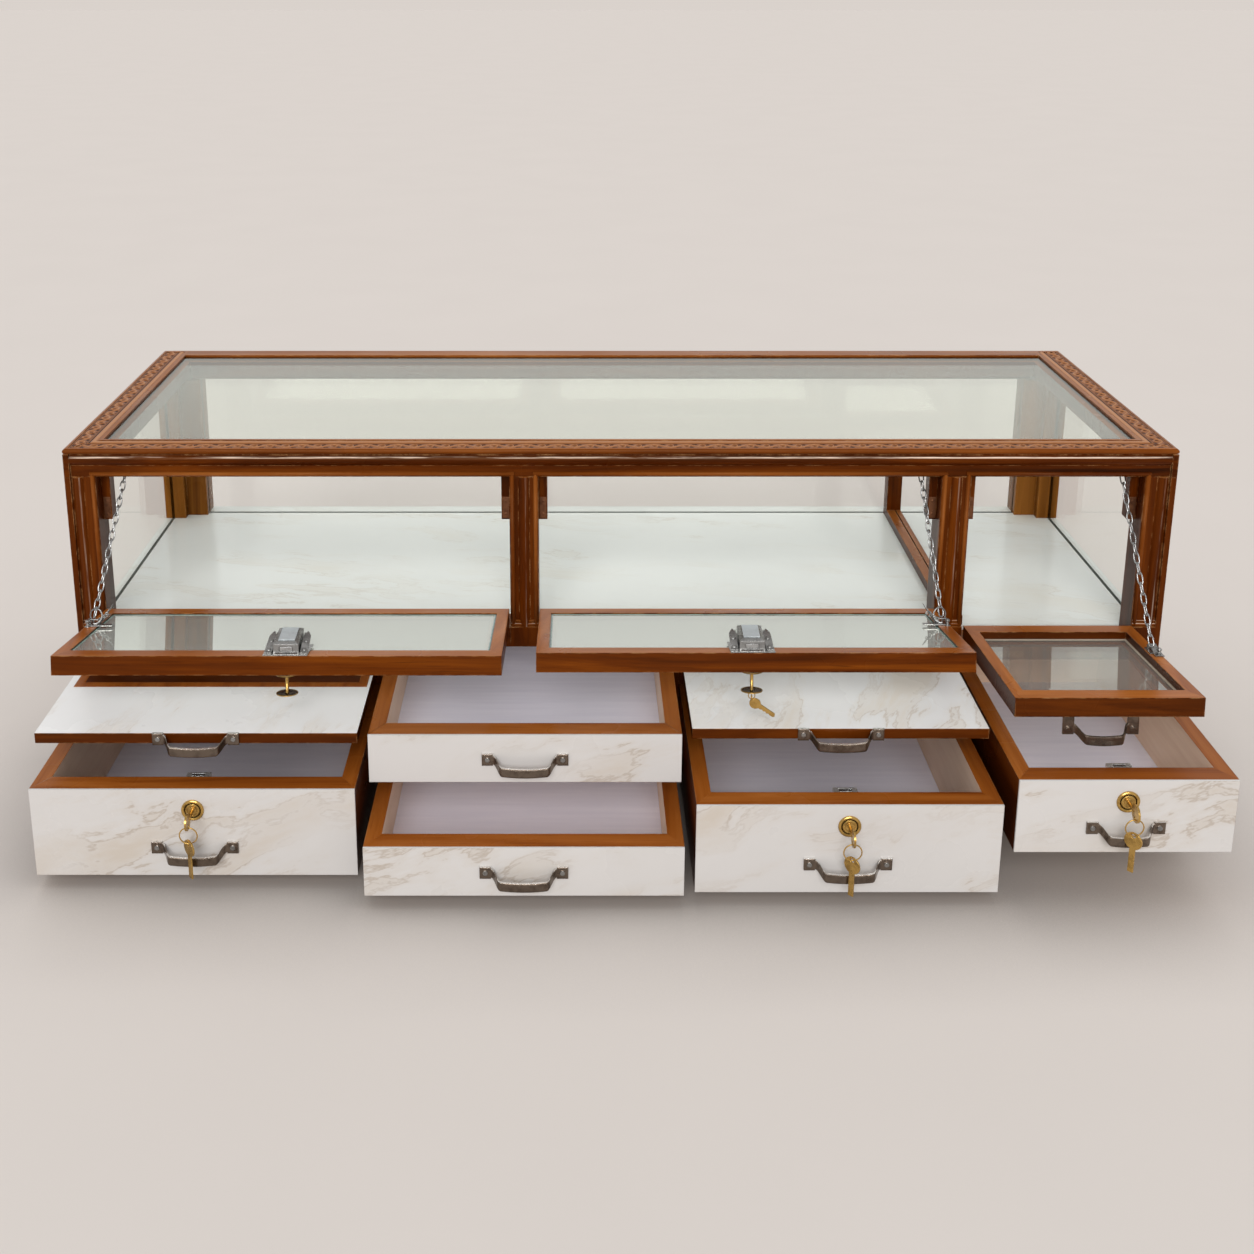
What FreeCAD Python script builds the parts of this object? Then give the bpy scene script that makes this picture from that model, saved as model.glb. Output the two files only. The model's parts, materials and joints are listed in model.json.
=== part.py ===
import FreeCAD, Part
import math
import os
import re

# Driving sizes: millimetres, degrees for tilts and turns, and shares of a larger size.
SIZES = {
    # Whole cabinet
    "overall_width": 1524,
    "overall_depth": 510,
    "overall_height": 495,
    "case_height_share": 0.4061,
    "overrun": 5,
    # Top frame
    "rail_drop": 41,
    "rail_width": 44,
    "back_rail_width": 28,
    "rail_nose": 8,
    "rail_bead": 9,
    "rail_set_back": 4,
    "rail_lip": 10,
    "lip_rise": 8,
    "carving_border": 6,
    "carving_depth": 2,
    "top_glass_sink": 3,
    "top_glass_thickness": 6,
    # Posts
    "corner_post_width": 41,
    "middle_post_width": 40,
    "post_depth": 45,
    "first_post_share": -0.1004,
    "second_post_share": 0.29,
    "foot_height": 30,
    "back_post_arm": 34,
    "back_post_deep": 55,
    "back_post_shallow": 40,
    # Panes, deck and partition
    "pane_thickness": 5,
    "pane_inset": 10,
    "deck_thickness": 12,
    "partition_width": 24,
    "partition_offset": 29,
    "partition_rail_height": 14,
    "partition_height": 78,
    "groove_from": 14,
    "groove_width": 2,
    "groove_depth": 4,
    # Sills under the flaps
    "sill_height": 29,
    "right_sill_rise": 4,
    "right_sill_drop": 20,
    # Lower case
    "case_side": 18,
    "case_back": 12,
    "bottom_board": 12,
    "divider_thickness": 12,
    "front_rail_depth": 28,
    "runner_height": 8,
    "runner_width": 12,
    "run_gap": 0.3,
    "front_gap": 1,
    "head_gap": 2,
    # Drawers and slides
    "left_front_share": 0.2664,
    "mid_left_front_share": 0.2592,
    "mid_right_front_share": 0.2467,
    "drawer_depth": 440,
    "deep_front_share": 0.602,
    "upper_front_share": 0.3283,
    "lower_front_share": 0.3333,
    "right_front_share": 0.4875,
    "facing_thickness": 3,
    "front_wall": 27,
    "side_wall": 20,
    "floor_thickness": 6,
    "slide_thickness": 14,
    "slide_left_out": 233,
    "slide_mid_right_out": 222,
    "drawer_left_out": 269,
    "drawer_mid_left_upper_out": 238,
    "drawer_mid_left_lower_out": 311,
    "drawer_mid_right_out": 304,
    "drawer_right_out": 310,
    # Flaps
    "flap_thickness": 25,
    "flap_rail": 24,
    "flap_stile": 16,
    "flap_lip": 8,
    "flap_side_gap": 1.5,
    "flap_top_gap": 2,
    "flap_glass": 4,
    "flap_glass_sink": 2,
    "right_glass_sink": 11,
    "flap_left_tilt": 10,
    "flap_middle_tilt": 11,
    "flap_right_tilt": 5,
    # Flap hinges
    "hinge_proud": 3.5,
    "hinge_rise": 0.5,
    "hinge_length": 50,
    "hinge_inset_share": 0.16,
    "hinge_leaf": 20,
    "hinge_plate": 1.5,
    "knuckle_radius": 3.2,
    "hinge_pin_radius": 1.5,
    "pin_clearance": 0.05,
    "knuckle_gap": 0.5,
    # Stops and chains
    "stop_width": 12,
    "stop_height": 71,
    "stop_gap": 1,
    "chain_wire": 1.8,
    "chain_link_width": 8,
    "link_gap": 0.3,
    "left_eye_inset": 31,
    "middle_eye_inset": 22,
    "right_eye_inset": 20,
    "eye_radius": 4,
    "eye_shank": 5,
    "left_chain_reach": 80,
    "middle_chain_reach": 80,
    "right_chain_reach": 95,
    "chain_plate_length": 22,
    "chain_plate_width": 12,
    "chain_ear_height": 9,
    "chain_pin_radius": 1.2,
    # Bow pulls
    "pull_spacing": 95,
    "right_pull_spacing": 82,
    "pull_plate_width": 14,
    "pull_plate_height": 16,
    "pull_thickness": 3,
    "pull_strap": 12,
    "pull_reach": 15,
    "pull_drop": 7,
    "pull_sag": 4,
    "pull_run": 12,
    "pull_screw_radius": 3,
    "pull_screw_head": 1.2,
    "deep_pull_drop": 80,
    "right_pull_drop": 63,
    "shallow_pull_drop": 33,
    "flap_pull_inset": 29,
    "flap_pull_hang": 27,
    # Locks and keys
    "lock_drop": 28,
    "barrel_radius": 9,
    "barrel_flange": 14,
    "flange_thickness": 2,
    "plug_radius": 5,
    "plug_proud": 0.5,
    "lock_case_width": 30,
    "lock_case_depth": 12,
    "lock_case_height": 36,
    "lock_case_drop": 1,
    "bolt_width": 16,
    "bolt_thickness": 5,
    "bolt_length": 24,
    "bolt_gap": 0.3,
    "bolt_travel": 8,
    "flap_bolt_travel": 14,
    "flap_left_lock_shift": 11,
    "flap_middle_lock_shift": -4,
    "flap_lock_width": 28,
    "flap_lock_length": 38,
    "flap_lock_low": 11,
    "flap_lock_high": 20,
    "flap_lock_plate_width": 56,
    "flap_lock_plate": 1.5,
    "flap_lock_setback": 8,
    "flap_lock_bar": 3,
    "key_neck_radius": 2.2,
    "key_neck_length": 13,
    "key_bow": 11,
    "key_thickness": 2.4,
    "key_hole": 2.8,
    "key_hole_offset": 6.5,
    "key_ring_radius": 11,
    "key_ring_wire": 0.8,
    "key_blade_length": 31,
    "key_blade_width": 7,
    "spare_key_thickness": 2,
    "spare_turn": 45,
    "spare_slip": 40,
    "spare_clearance": 1.3,
}

# Links in every stay chain: odd, so that the first and the last lie the same way.
CHAIN_LINKS = 17

# Sections along a pull's neck and half its grip
NECK_STEPS = 6
GRIP_STEPS = 5

# Places and lengths worked out from the sizes above.
PLACES = {
    "half_width": "overall_width / 2",
    "case_height": "overall_height * case_height_share",
    "rail_under": "overall_height - rail_drop",
    "top_glass_under": "overall_height - top_glass_sink - top_glass_thickness",
    "deck_top": "case_height + deck_thickness",
    "case_inside": "half_width - case_side",
    "case_inside_back": "overall_depth - case_back",
    # Posts, sills and openings
    "first_post_left": "overall_width * first_post_share",
    "second_post_left": "overall_width * second_post_share",
    "partition_left": "second_post_left + partition_offset",
    "sill_top": "case_height + sill_height",
    "right_sill_top": "case_height + right_sill_rise",
    "right_sill_under": "case_height - right_sill_drop",
    "left_bay_from": "-half_width + corner_post_width",
    "left_bay_to": "first_post_left",
    "middle_bay_from": "first_post_left + middle_post_width",
    "middle_bay_to": "second_post_left",
    "right_bay_from": "second_post_left + middle_post_width",
    "right_bay_to": "half_width - corner_post_width",
    # Columns of the lower case, and the heights of their fronts
    "left_front_width": "overall_width * left_front_share",
    "mid_left_front_width": "overall_width * mid_left_front_share",
    "mid_right_front_width": "overall_width * mid_right_front_share",
    "deep_front_height": "case_height * deep_front_share",
    "upper_front_height": "case_height * upper_front_share",
    "lower_front_height": "case_height * lower_front_share",
    "right_front_height": "case_height * right_front_share",
    "column_step": "divider_thickness + 2 * front_gap",
    "left_x": "-case_inside + front_gap",
    "mid_left_x": "left_x + left_front_width + column_step",
    "mid_right_x": "mid_left_x + mid_left_front_width + column_step",
    "right_x": "mid_right_x + mid_right_front_width + column_step",
    "right_front_width": "case_inside - front_gap - right_x",
    # Levels of drawers and slides
    "low_bottom": "bottom_board + runner_height + run_gap",
    "upper_bottom": "case_height - head_gap - upper_front_height",
    "right_bottom": "right_sill_under - head_gap - right_front_height",
    "slide_bottom": "case_height - head_gap - slide_thickness",
    "deep_top": "low_bottom + deep_front_height",
    "lower_top": "low_bottom + lower_front_height",
    # Flaps, seen lying open and level with the hinge axis at zero
    "flap_left_width": "left_bay_to - left_bay_from - 2 * flap_side_gap",
    "flap_middle_width": "middle_bay_to - middle_bay_from - 2 * flap_side_gap",
    "flap_right_width": "right_bay_to - right_bay_from - 2 * flap_side_gap",
    "flap_length": "rail_under - flap_top_gap - sill_top - 2 * hinge_rise",
    "flap_right_length": "rail_under - flap_top_gap - right_sill_top - 2 * hinge_rise",
    "flap_inner": "hinge_proud + flap_thickness",
    "chain_pin_level": "flap_inner + chain_ear_height - 2 * chain_pin_radius",
    # Keys
    "key_bow_out": "plug_proud + key_neck_length + key_bow",
    "ring_slack": "key_hole - key_ring_wire - link_gap",
    "key_hole_out": "key_bow_out + key_hole_offset",
    "lock_back": "facing_thickness + front_wall",
}

WORD = re.compile(r"[A-Za-z_]\w*")
TURNS = {
    "x": FreeCAD.Rotation(FreeCAD.Vector(0, 1, 0), 90),
    "y": FreeCAD.Rotation(FreeCAD.Vector(1, 0, 0), -90),
    "z": FreeCAD.Rotation(),
}

doc = FreeCAD.newDocument("display_cabinet")
sheet = doc.addObject("Spreadsheet::Sheet", "sizes")
for row, (alias, number) in enumerate(SIZES.items(), 1):
    sheet.set(f"A{row}", alias)
    sheet.set(f"B{row}", str(number))
    sheet.setAlias(f"B{row}", alias)
doc.recompute()

sub_parts = []


def expand(text):
    """Write an expression with sheet cells in place of the names of sizes and places."""
    def swap(match):
        word = match.group(0)
        if word in PLACES:
            return f"({expand(PLACES[word])})"
        return f"sizes.{word}" if word in SIZES else word
    return WORD.sub(swap, text)


def value(text):
    """The number that an expression gives now."""
    return float(sheet.evalExpression(expand(text)))


def bind(piece, **expressions):
    for name, text in expressions.items():
        piece.setExpression(name, expand(text))


def put(piece, x="0", y="0", z="0"):
    for axis, text in zip("xyz", (x, y, z)):
        piece.setExpression(f"Placement.Base.{axis}", expand(text))
    return piece


def turn(piece, axis, degrees):
    piece.Placement = FreeCAD.Placement(FreeCAD.Vector(), FreeCAD.Rotation(FreeCAD.Vector(*axis), degrees))
    return piece


def box(name, x, y, z):
    """A plain board between two places along each axis."""
    piece = doc.addObject("Part::Box", name)
    for side, (low, high) in zip(("Length", "Width", "Height"), (x, y, z)):
        bind(piece, **{side: f"({high}) - ({low})"})
    return put(piece, x[0], y[0], z[0])


def rod(name, axis, radius, start, length):
    piece = doc.addObject("Part::Cylinder", name)
    piece.Placement = FreeCAD.Placement(FreeCAD.Vector(), TURNS[axis])
    bind(piece, Radius=radius, Height=length)
    return put(piece, *start)


def ring(name, axis, radius, wire, at):
    piece = doc.addObject("Part::Torus", name)
    piece.Placement = FreeCAD.Placement(FreeCAD.Vector(), TURNS[axis])
    bind(piece, Radius1=radius, Radius2=wire)
    return put(piece, *at)


def mitred(name, length, width, low, high, start_cut, end_cut):
    """A board along X whose ends are cut back on its far side in Y."""
    piece = doc.addObject("Part::Wedge", name)
    bind(piece, Xmin="0", Xmax=length, X2min=start_cut, X2max=f"({length}) - ({end_cut})")
    bind(piece, Ymin="0", Ymax=width, Zmin=low, Zmax=high, Z2min=low, Z2max=high)
    return piece


def fuse(name, pieces):
    piece = doc.addObject("Part::MultiFuse", name)
    piece.Shapes = pieces
    return piece


def cut(name, base, tools):
    """The base with every tool taken away from it."""
    piece = doc.addObject("Part::Cut", name)
    piece.Base = base
    piece.Tool = tools[0] if len(tools) == 1 else fuse(name + "_tools", tools)
    return piece


def group(name, pieces):
    piece = doc.addObject("Part::Compound", name)
    piece.Links = pieces
    return piece


def sub_part(name, pieces, at=("0", "0", "0"), tilt=None):
    """One node: its solids where they are carried, tilted with their flap, about the middle of the depth."""
    piece = group(name, pieces)
    piece.Label = name
    if tilt:
        turn(piece, (-1, 0, 0), 1)
        piece.setExpression("Placement.Rotation.Angle", expand(tilt))
    put(piece, at[0], f"{at[1]} - overall_depth / 2", at[2])
    sub_parts.append(piece)
    return piece


# Top frame: moulded rails mitred at the front, a plain one at the back.

def moulded_rail(name, length, start_mitre, end_mitre, mortises=()):
    """A rail along X, outer face at Y zero: nose, bead, fillet, corner strips, lip under the glass, band."""
    bead_level = "rail_drop - rail_nose - rail_bead"
    nose_level = "rail_drop - rail_nose / 2"
    whole = ("0", length)
    pieces = [
        box(name + "_core", whole, ("rail_set_back", "rail_width"), ("0", "rail_drop")),
        box(name + "_slab", whole, ("rail_nose / 2", "rail_width"), ("rail_drop - rail_nose", "rail_drop")),
        rod(name + "_nose", "x", "rail_nose / 2", ("0", "rail_nose / 2", nose_level), length),
        rod(name + "_bead", "x", "rail_bead", ("0", "rail_bead", bead_level), length),
        box(name + "_lip", whole, ("rail_width", "rail_width + rail_lip"),
            ("lip_rise", "top_glass_under - rail_under")),
    ]
    waste = list(mortises)
    strip_up = ("0", "rail_drop - rail_nose")
    band = ["carving_border", f"{length} - carving_border"]
    for end, (start, wanted) in enumerate((("0", start_mitre), (length, end_mitre))):
        if wanted:
            side = "2 * (rail_width + rail_lip)"
            wedge = box(f"{name}_mitre_{end}", ("0", side), ("0", side), ("-overrun", "rail_drop + overrun"))
            turn(wedge, (0, 0, 1), 45)
            waste.append(put(wedge, start, "0", "-overrun"))
            band[end] = start
            strip = (f"{length} - rail_nose", length) if end else ("0", "rail_nose")
            pieces.append(box(f"{name}_strip_{end}", strip, ("0", "rail_nose"), strip_up))
    waste.append(box(name + "_band", band, ("carving_border", "rail_width - carving_border"),
                     ("rail_drop - carving_depth", "rail_drop + overrun")))
    return cut(name, fuse(name + "_profile", pieces), waste)


def lock_mortise(name, bay):
    """The pocket over a flap lock that its bolt rises into, in the front rail's own frame."""
    middle = f"half_width + ({bay}_bay_from + {bay}_bay_to) / 2 + flap_{bay}_lock_shift"
    return box(name, (f"{middle} - bolt_width", f"{middle} + bolt_width"),
               ("flap_thickness", "flap_thickness + flap_lock_high"),
               ("-overrun", "flap_bolt_travel - flap_lock_setback"))


mortises = [lock_mortise(f"mortise_{bay}", bay) for bay in ("left", "middle")]
front_rail = moulded_rail("front_rail", "overall_width", True, True, mortises)
put(front_rail, "-half_width", "0", "rail_under")
left_rail = turn(moulded_rail("left_rail", "overall_depth", False, True), (0, 0, 1), -90)
put(left_rail, "-half_width", "overall_depth", "rail_under")
right_rail = turn(moulded_rail("right_rail", "overall_depth", True, False), (0, 0, 1), 90)
put(right_rail, "half_width", "0", "rail_under")
back_span = ("-half_width + rail_width + rail_lip", "half_width - rail_width - rail_lip")
back_boards = [
    box("back_rail_board", back_span, ("overall_depth - back_rail_width", "overall_depth"),
        ("rail_under", "overall_height")),
    box("back_rail_lip", back_span,
        ("overall_depth - back_rail_width - rail_lip", "overall_depth - back_rail_width"),
        ("rail_under + lip_rise", "top_glass_under")),
]
for side, span in (("left", ("-half_width + rail_width", back_span[0])),
                   ("right", (back_span[1], "half_width - rail_width"))):
    back_boards.append(box(f"back_rail_{side}_end", span, ("overall_depth - back_rail_width", "overall_depth"),
                           ("top_glass_under", "overall_height")))
sub_part("top_rails", [front_rail, left_rail, right_rail, fuse("back_rail", back_boards)])
sub_part("top_glass", [box(
    "top_pane",
    ("-half_width + rail_width", "half_width - rail_width"),
    ("rail_width", "overall_depth - back_rail_width"),
    ("top_glass_under", "top_glass_under + top_glass_thickness"))])


# Posts: corner posts carry the rail's moulding down, middle posts have one bead between fillets.

def post(name, left, width, bead_at, strip=None):
    up = ("case_height", "rail_under")
    right = f"{left} + {width}"
    foot_top = "case_height + foot_height"
    pieces = [
        box(name + "_core", (left, right), ("rail_set_back", "post_depth"), up),
        rod(name + "_bead", "z", "rail_bead", (bead_at, "rail_bead", "case_height"), f"{up[1]} - {up[0]}"),
        box(name + "_foot", (left, right), ("0", "post_depth"), ("case_height", foot_top)),
    ]
    if strip:
        pieces.append(box(name + "_strip", strip, ("0", "rail_set_back"), up))
    return fuse(name, pieces)


left_edge = "-half_width"
right_edge = "half_width - corner_post_width"
sub_part("front_posts", [
    post("left_post", left_edge, "corner_post_width", "-half_width + rail_nose + rail_bead",
         (left_edge, "-half_width + rail_nose")),
    post("first_post", "first_post_left", "middle_post_width", "first_post_left + middle_post_width / 2"),
    post("second_post", "second_post_left", "middle_post_width", "second_post_left + middle_post_width / 2"),
    post("right_post", right_edge, "corner_post_width", "half_width - rail_nose - rail_bead",
         ("half_width - rail_nose", "half_width")),
])


def back_post(name, outer, sign):
    """A stepped post: the outer arm reaches further forward than the inner one."""
    def across(near, far):
        spans = (f"{outer} + ({near})", f"{outer} + ({far})")
        return spans if sign > 0 else (f"{outer} - ({far})", f"{outer} - ({near})")
    up = ("deck_top", "rail_under")
    return fuse(name, [
        box(name + "_deep", across("0", "back_post_arm"),
            ("overall_depth - back_post_deep", "overall_depth"), up),
        box(name + "_shallow", across("back_post_arm", "2 * back_post_arm"),
            ("overall_depth - back_post_shallow", "overall_depth"), up),
    ])


sub_part("back_posts", [
    back_post("left_back_post", "-half_width", 1),
    back_post("right_back_post", "half_width", -1),
])

stops = []
for bay in ("left", "middle", "right"):
    for side, span in (("from", (f"{bay}_bay_from", f"{bay}_bay_from + stop_width")),
                       ("to", (f"{bay}_bay_to - stop_width", f"{bay}_bay_to"))):
        stops.append(box(f"stop_{bay}_{side}", span, ("flap_thickness + stop_gap", "post_depth"),
                         ("rail_under - stop_height", "rail_under")))
sub_part("stop_blocks", stops)

# Panes stand on the deck between the posts.
pane_up = ("deck_top", "rail_under")
pane_run = ("post_depth", "overall_depth - back_post_deep")
back_pane_at = "overall_depth - back_post_shallow + pane_inset"
partition_far = back_pane_at
stile_near = f"{partition_far} - partition_width"
left_pane_at = "-half_width + pane_inset"
right_pane_to = "half_width - pane_inset"
sub_part("case_glass", [
    box("left_pane", (left_pane_at, f"{left_pane_at} + pane_thickness"), pane_run, pane_up),
    box("right_pane", (f"{right_pane_to} - pane_thickness", right_pane_to), pane_run, pane_up),
    box("back_pane", ("-half_width + 2 * back_post_arm", "half_width - 2 * back_post_arm"),
        (back_pane_at, f"{back_pane_at} + pane_thickness"), pane_up),
])
partition_span = ("partition_left", "partition_left + partition_width")
rail_top = "deck_top + partition_rail_height"
groove_left = "partition_left + groove_from"
partition_groove = box("partition_groove", (groove_left, f"{groove_left} + groove_width"),
                       ("post_depth - overrun", f"{stile_near} + overrun"),
                       (f"{rail_top} - groove_depth", f"{rail_top} + overrun"))
partition_board = box("partition_board", partition_span, ("post_depth", stile_near), ("deck_top", rail_top))
sub_part("partition_frame", [
    cut("partition_rail", partition_board, [partition_groove]),
    box("partition_stile", partition_span, (stile_near, partition_far),
        ("deck_top", "deck_top + partition_height")),
])
sub_part("deck_board", [box("deck", ("-half_width", "half_width"), ("post_depth", "overall_depth"),
                            ("case_height", "deck_top"))])

# Front rails: sills between the posts, and rails between the drawers below.
sill_depth = ("0", "post_depth")
rail_depth = ("0", "front_rail_depth")
column_ends = {
    "left": ("left_x - front_gap", "left_x + left_front_width + front_gap"),
    "mid_left": ("mid_left_x - front_gap", "mid_left_x + mid_left_front_width + front_gap"),
    "mid_right": ("mid_right_x - front_gap", "mid_right_x + mid_right_front_width + front_gap"),
    "right": ("right_x - front_gap", "right_x + right_front_width + front_gap"),
}
right_lock_x = "right_x + right_front_width / 2"
right_sill = cut("right_sill", box("right_sill_board", ("right_bay_from", "right_bay_to"), sill_depth,
                                   ("right_sill_under", "right_sill_top")),
                 [box("right_sill_mortise", (f"{right_lock_x} - bolt_width", f"{right_lock_x} + bolt_width"),
                      ("lock_back", "lock_back + lock_case_depth"),
                      ("right_sill_under - overrun", "right_sill_under + bolt_travel"))])
deep_rail = ("deep_top + head_gap", "slide_bottom - head_gap")
sub_part("front_rails", [
    box("left_sill", ("left_bay_from", "left_bay_to"), sill_depth, ("case_height", "sill_top")),
    box("middle_sill", ("middle_bay_from", "middle_bay_to"), sill_depth, ("case_height", "sill_top")),
    right_sill,
    box("left_drawer_rail", column_ends["left"], rail_depth, deep_rail),
    box("mid_left_drawer_rail", column_ends["mid_left"], rail_depth,
        ("lower_top + head_gap", "upper_bottom - head_gap")),
    box("mid_right_drawer_rail", column_ends["mid_right"], rail_depth, deep_rail),
    box("right_apron", column_ends["right"], rail_depth, ("bottom_board", "right_bottom - head_gap")),
])

# Lower case: sides, bottom, back and the dividers between the columns.
case_up = ("bottom_board", "case_height")
case_run = ("0", "case_inside_back")
case_panels = [
    box("case_left", ("-half_width", "-case_inside"), ("0", "overall_depth"), ("0", "case_height")),
    box("case_right", ("case_inside", "half_width"), ("0", "overall_depth"), ("0", "case_height")),
    box("case_bottom", ("-case_inside", "case_inside"), case_run, ("0", "bottom_board")),
    box("case_back_panel", ("-case_inside", "case_inside"), ("case_inside_back", "overall_depth"),
        ("0", "case_height")),
]
for column, following in (("left", "mid_left"), ("mid_left", "mid_right"), ("mid_right", "right")):
    case_panels.append(box(f"divider_{column}", (column_ends[column][1], column_ends[following][0]),
                           case_run, case_up))
sub_part("case_panels", case_panels)

# What slides: column, level of its underside, height, and how far out it stands.
SLIDES = {
    "slide_left": ("left", "slide_bottom", "slide_thickness"),
    "slide_mid_right": ("mid_right", "slide_bottom", "slide_thickness"),
}
DRAWERS = {
    "drawer_left": ("left", "low_bottom", "deep_front_height", "deep_pull_drop", True),
    "drawer_mid_left_upper": ("mid_left", "upper_bottom", "upper_front_height", "shallow_pull_drop", False),
    "drawer_mid_left_lower": ("mid_left", "low_bottom", "lower_front_height", "shallow_pull_drop", False),
    "drawer_mid_right": ("mid_right", "low_bottom", "deep_front_height", "deep_pull_drop", True),
    "drawer_right": ("right", "right_bottom", "right_front_height", "right_pull_drop", True),
}

runners = []
for name, row in list(SLIDES.items()) + list(DRAWERS.items()):
    low, high = column_ends[row[0]]
    level = (f"{row[1]} - run_gap - runner_height", f"{row[1]} - run_gap")
    for side, span in (("left", (low, f"{low} + runner_width")), ("right", (f"{high} - runner_width", high))):
        runners.append(box(f"{name}_{side}_runner", span, ("front_rail_depth", "case_inside_back"), level))
sub_part("runners", runners)


def eased(share):
    """A share of a bend as a smooth rise from nought to one."""
    return (1 - math.cos(math.pi * min(max(share, 0), 1))) / 2


def strap(name, spacing):
    """The bent ribbon of a pull, lofted through upright sections from one plate to the other."""
    thick = value("pull_thickness")
    half = value("pull_strap / 2")
    reach = value("pull_reach")
    drop = value("pull_drop")
    sag = value("pull_sag")
    run = value("pull_run")
    edge = value(f"{spacing} / 2 - pull_plate_width / 2")
    grip = edge - run
    places = [value(f"{spacing} / 2")]
    places += [edge - run * step / NECK_STEPS for step in range(NECK_STEPS)]
    places += [grip * step / GRIP_STEPS for step in range(GRIP_STEPS, 0, -1)]
    sections = []
    for x in [-place for place in places] + [0] + places[::-1]:
        risen = eased((edge - abs(x)) / run)
        y = -thick - reach * risen
        z = -drop * risen - sag * max(1 - (x / edge) ** 2, 0)
        corners = [(y, z - half), (y + thick, z - half), (y + thick, z + half), (y, z + half), (y, z - half)]
        sections.append(Part.makePolygon([FreeCAD.Vector(x, across, level) for across, level in corners]))
    piece = doc.addObject("Part::Feature", name)
    piece.Shape = Part.makeLoft(sections, True, True)
    return piece


def bow_pull(name, spacing, x, y, z, plate_top="pull_plate_height / 2"):
    """A strap pull on a face that looks towards minus Y: two plates, the strap and its screws."""
    solids = [strap(name + "_strap", spacing)]
    screws = []
    for side, hole in (("left", f"-{spacing} / 2"), ("right", f"{spacing} / 2")):
        plate = (f"{hole} - pull_plate_width / 2", f"{hole} + pull_plate_width / 2")
        solids.append(box(f"{name}_{side}_plate", plate, ("-pull_thickness", "0"),
                          ("-pull_plate_height / 2", plate_top)))
        screws.append(rod(f"{name}_{side}_screw", "y", "pull_screw_radius",
                          (hole, "-pull_thickness - pull_screw_head", "0"), "pull_screw_head"))
    whole = group(name + "_set", [fuse(name + "_bow", solids)] + screws)
    return put(whole, x, y, z)


def key(name, plug_length, hole_y, hole_z, face="x"):
    """A key pushed home in its plug, along minus Y from the barrel's face at zero; its bow faces X or Z."""
    hole_at = ("-key_thickness", hole_y, hole_z)
    disc_at = ("-key_thickness / 2", "-key_bow_out", "0")
    if face == "z":
        hole_at = hole_at[::-1]
        disc_at = disc_at[::-1]
    hole = rod(name + "_hole", face, "key_hole", hole_at, "2 * key_thickness")
    disc = cut(name + "_bow", rod(name + "_disc", face, "key_bow", disc_at, "key_thickness"), [hole])
    neck_end = "key_bow_out - key_bow / 2"
    return fuse(name, [
        rod(name + "_plug", "y", "plug_radius", ("0", "-plug_proud", "0"), plug_length),
        rod(name + "_neck", "y", "key_neck_radius", ("0", f"-({neck_end})", "0"), neck_end),
        disc,
    ])


def spare_key(name, turned, slip, lean):
    """A ring through a bow's hole at zero, and the second key on it: turned, slipped round, leaning."""
    half = "spare_key_thickness / 2"
    thick = "spare_key_thickness"
    hole = rod(name + "_hole", "x", "key_hole", (f"-{thick}", "0", "0"), f"2 * {thick}")
    disc = cut(name + "_bow", rod(name + "_disc", "x", "key_bow", (f"-{half}", "0", "-key_hole_offset"), thick),
               [hole])
    blade = box(name + "_blade", (f"-{half}", half), ("-key_blade_width / 2", "key_blade_width / 2"),
                ("-key_hole_offset - key_bow - key_blade_length", "-key_hole_offset - key_bow / 2"))
    upright = turn(fuse(name + "_blank", [disc, blade]), (0, 0, 1), 1)
    upright.setExpression("Placement.Rotation.Angle", expand(turned))
    leaning = turn(group(name + "_second", [upright]), (0, -1, 0), 1)
    leaning.setExpression("Placement.Rotation.Angle", expand(lean))
    loop_at = "-ring_slack - key_ring_radius"
    put(leaning, f"key_ring_radius * sin({slip})", "0", f"{loop_at} - key_ring_radius * cos({slip})")
    return [ring(name + "_ring", "y", "key_ring_radius", "key_ring_wire", ("0", "0", loop_at)), leaning]


def barrel(name, length):
    """The lock's tube with its flange, along Y with the flange's face at zero."""
    tube = fuse(name + "_tube", [
        rod(name + "_body", "y", "barrel_radius", ("0", "flange_thickness / 2", "0"),
            f"{length} + flange_thickness / 2"),
        rod(name + "_flange", "y", "barrel_flange", ("0", "0", "0"), "flange_thickness"),
    ])
    bore = rod(name + "_bore", "y", "plug_radius + pin_clearance", ("0", "-overrun", "0"),
               f"{length} + flange_thickness + 2 * overrun")
    return cut(name, tube, [bore])


# Slides: a board and its pull.
for name, (column, bottom, height) in SLIDES.items():
    width = f"{column}_front_width"
    at = (f"{column}_x", f"-{name}_out", bottom)
    sub_part(f"{name}_board", [box(f"{name}_panel", ("0", width), ("0", "drawer_depth"), ("0", height))], at)
    pull = bow_pull(f"{name}_bow_pull", "pull_spacing", f"{width} / 2", "0", f"{height} / 2")
    sub_part(f"{name}_pull", [pull], at)

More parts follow.
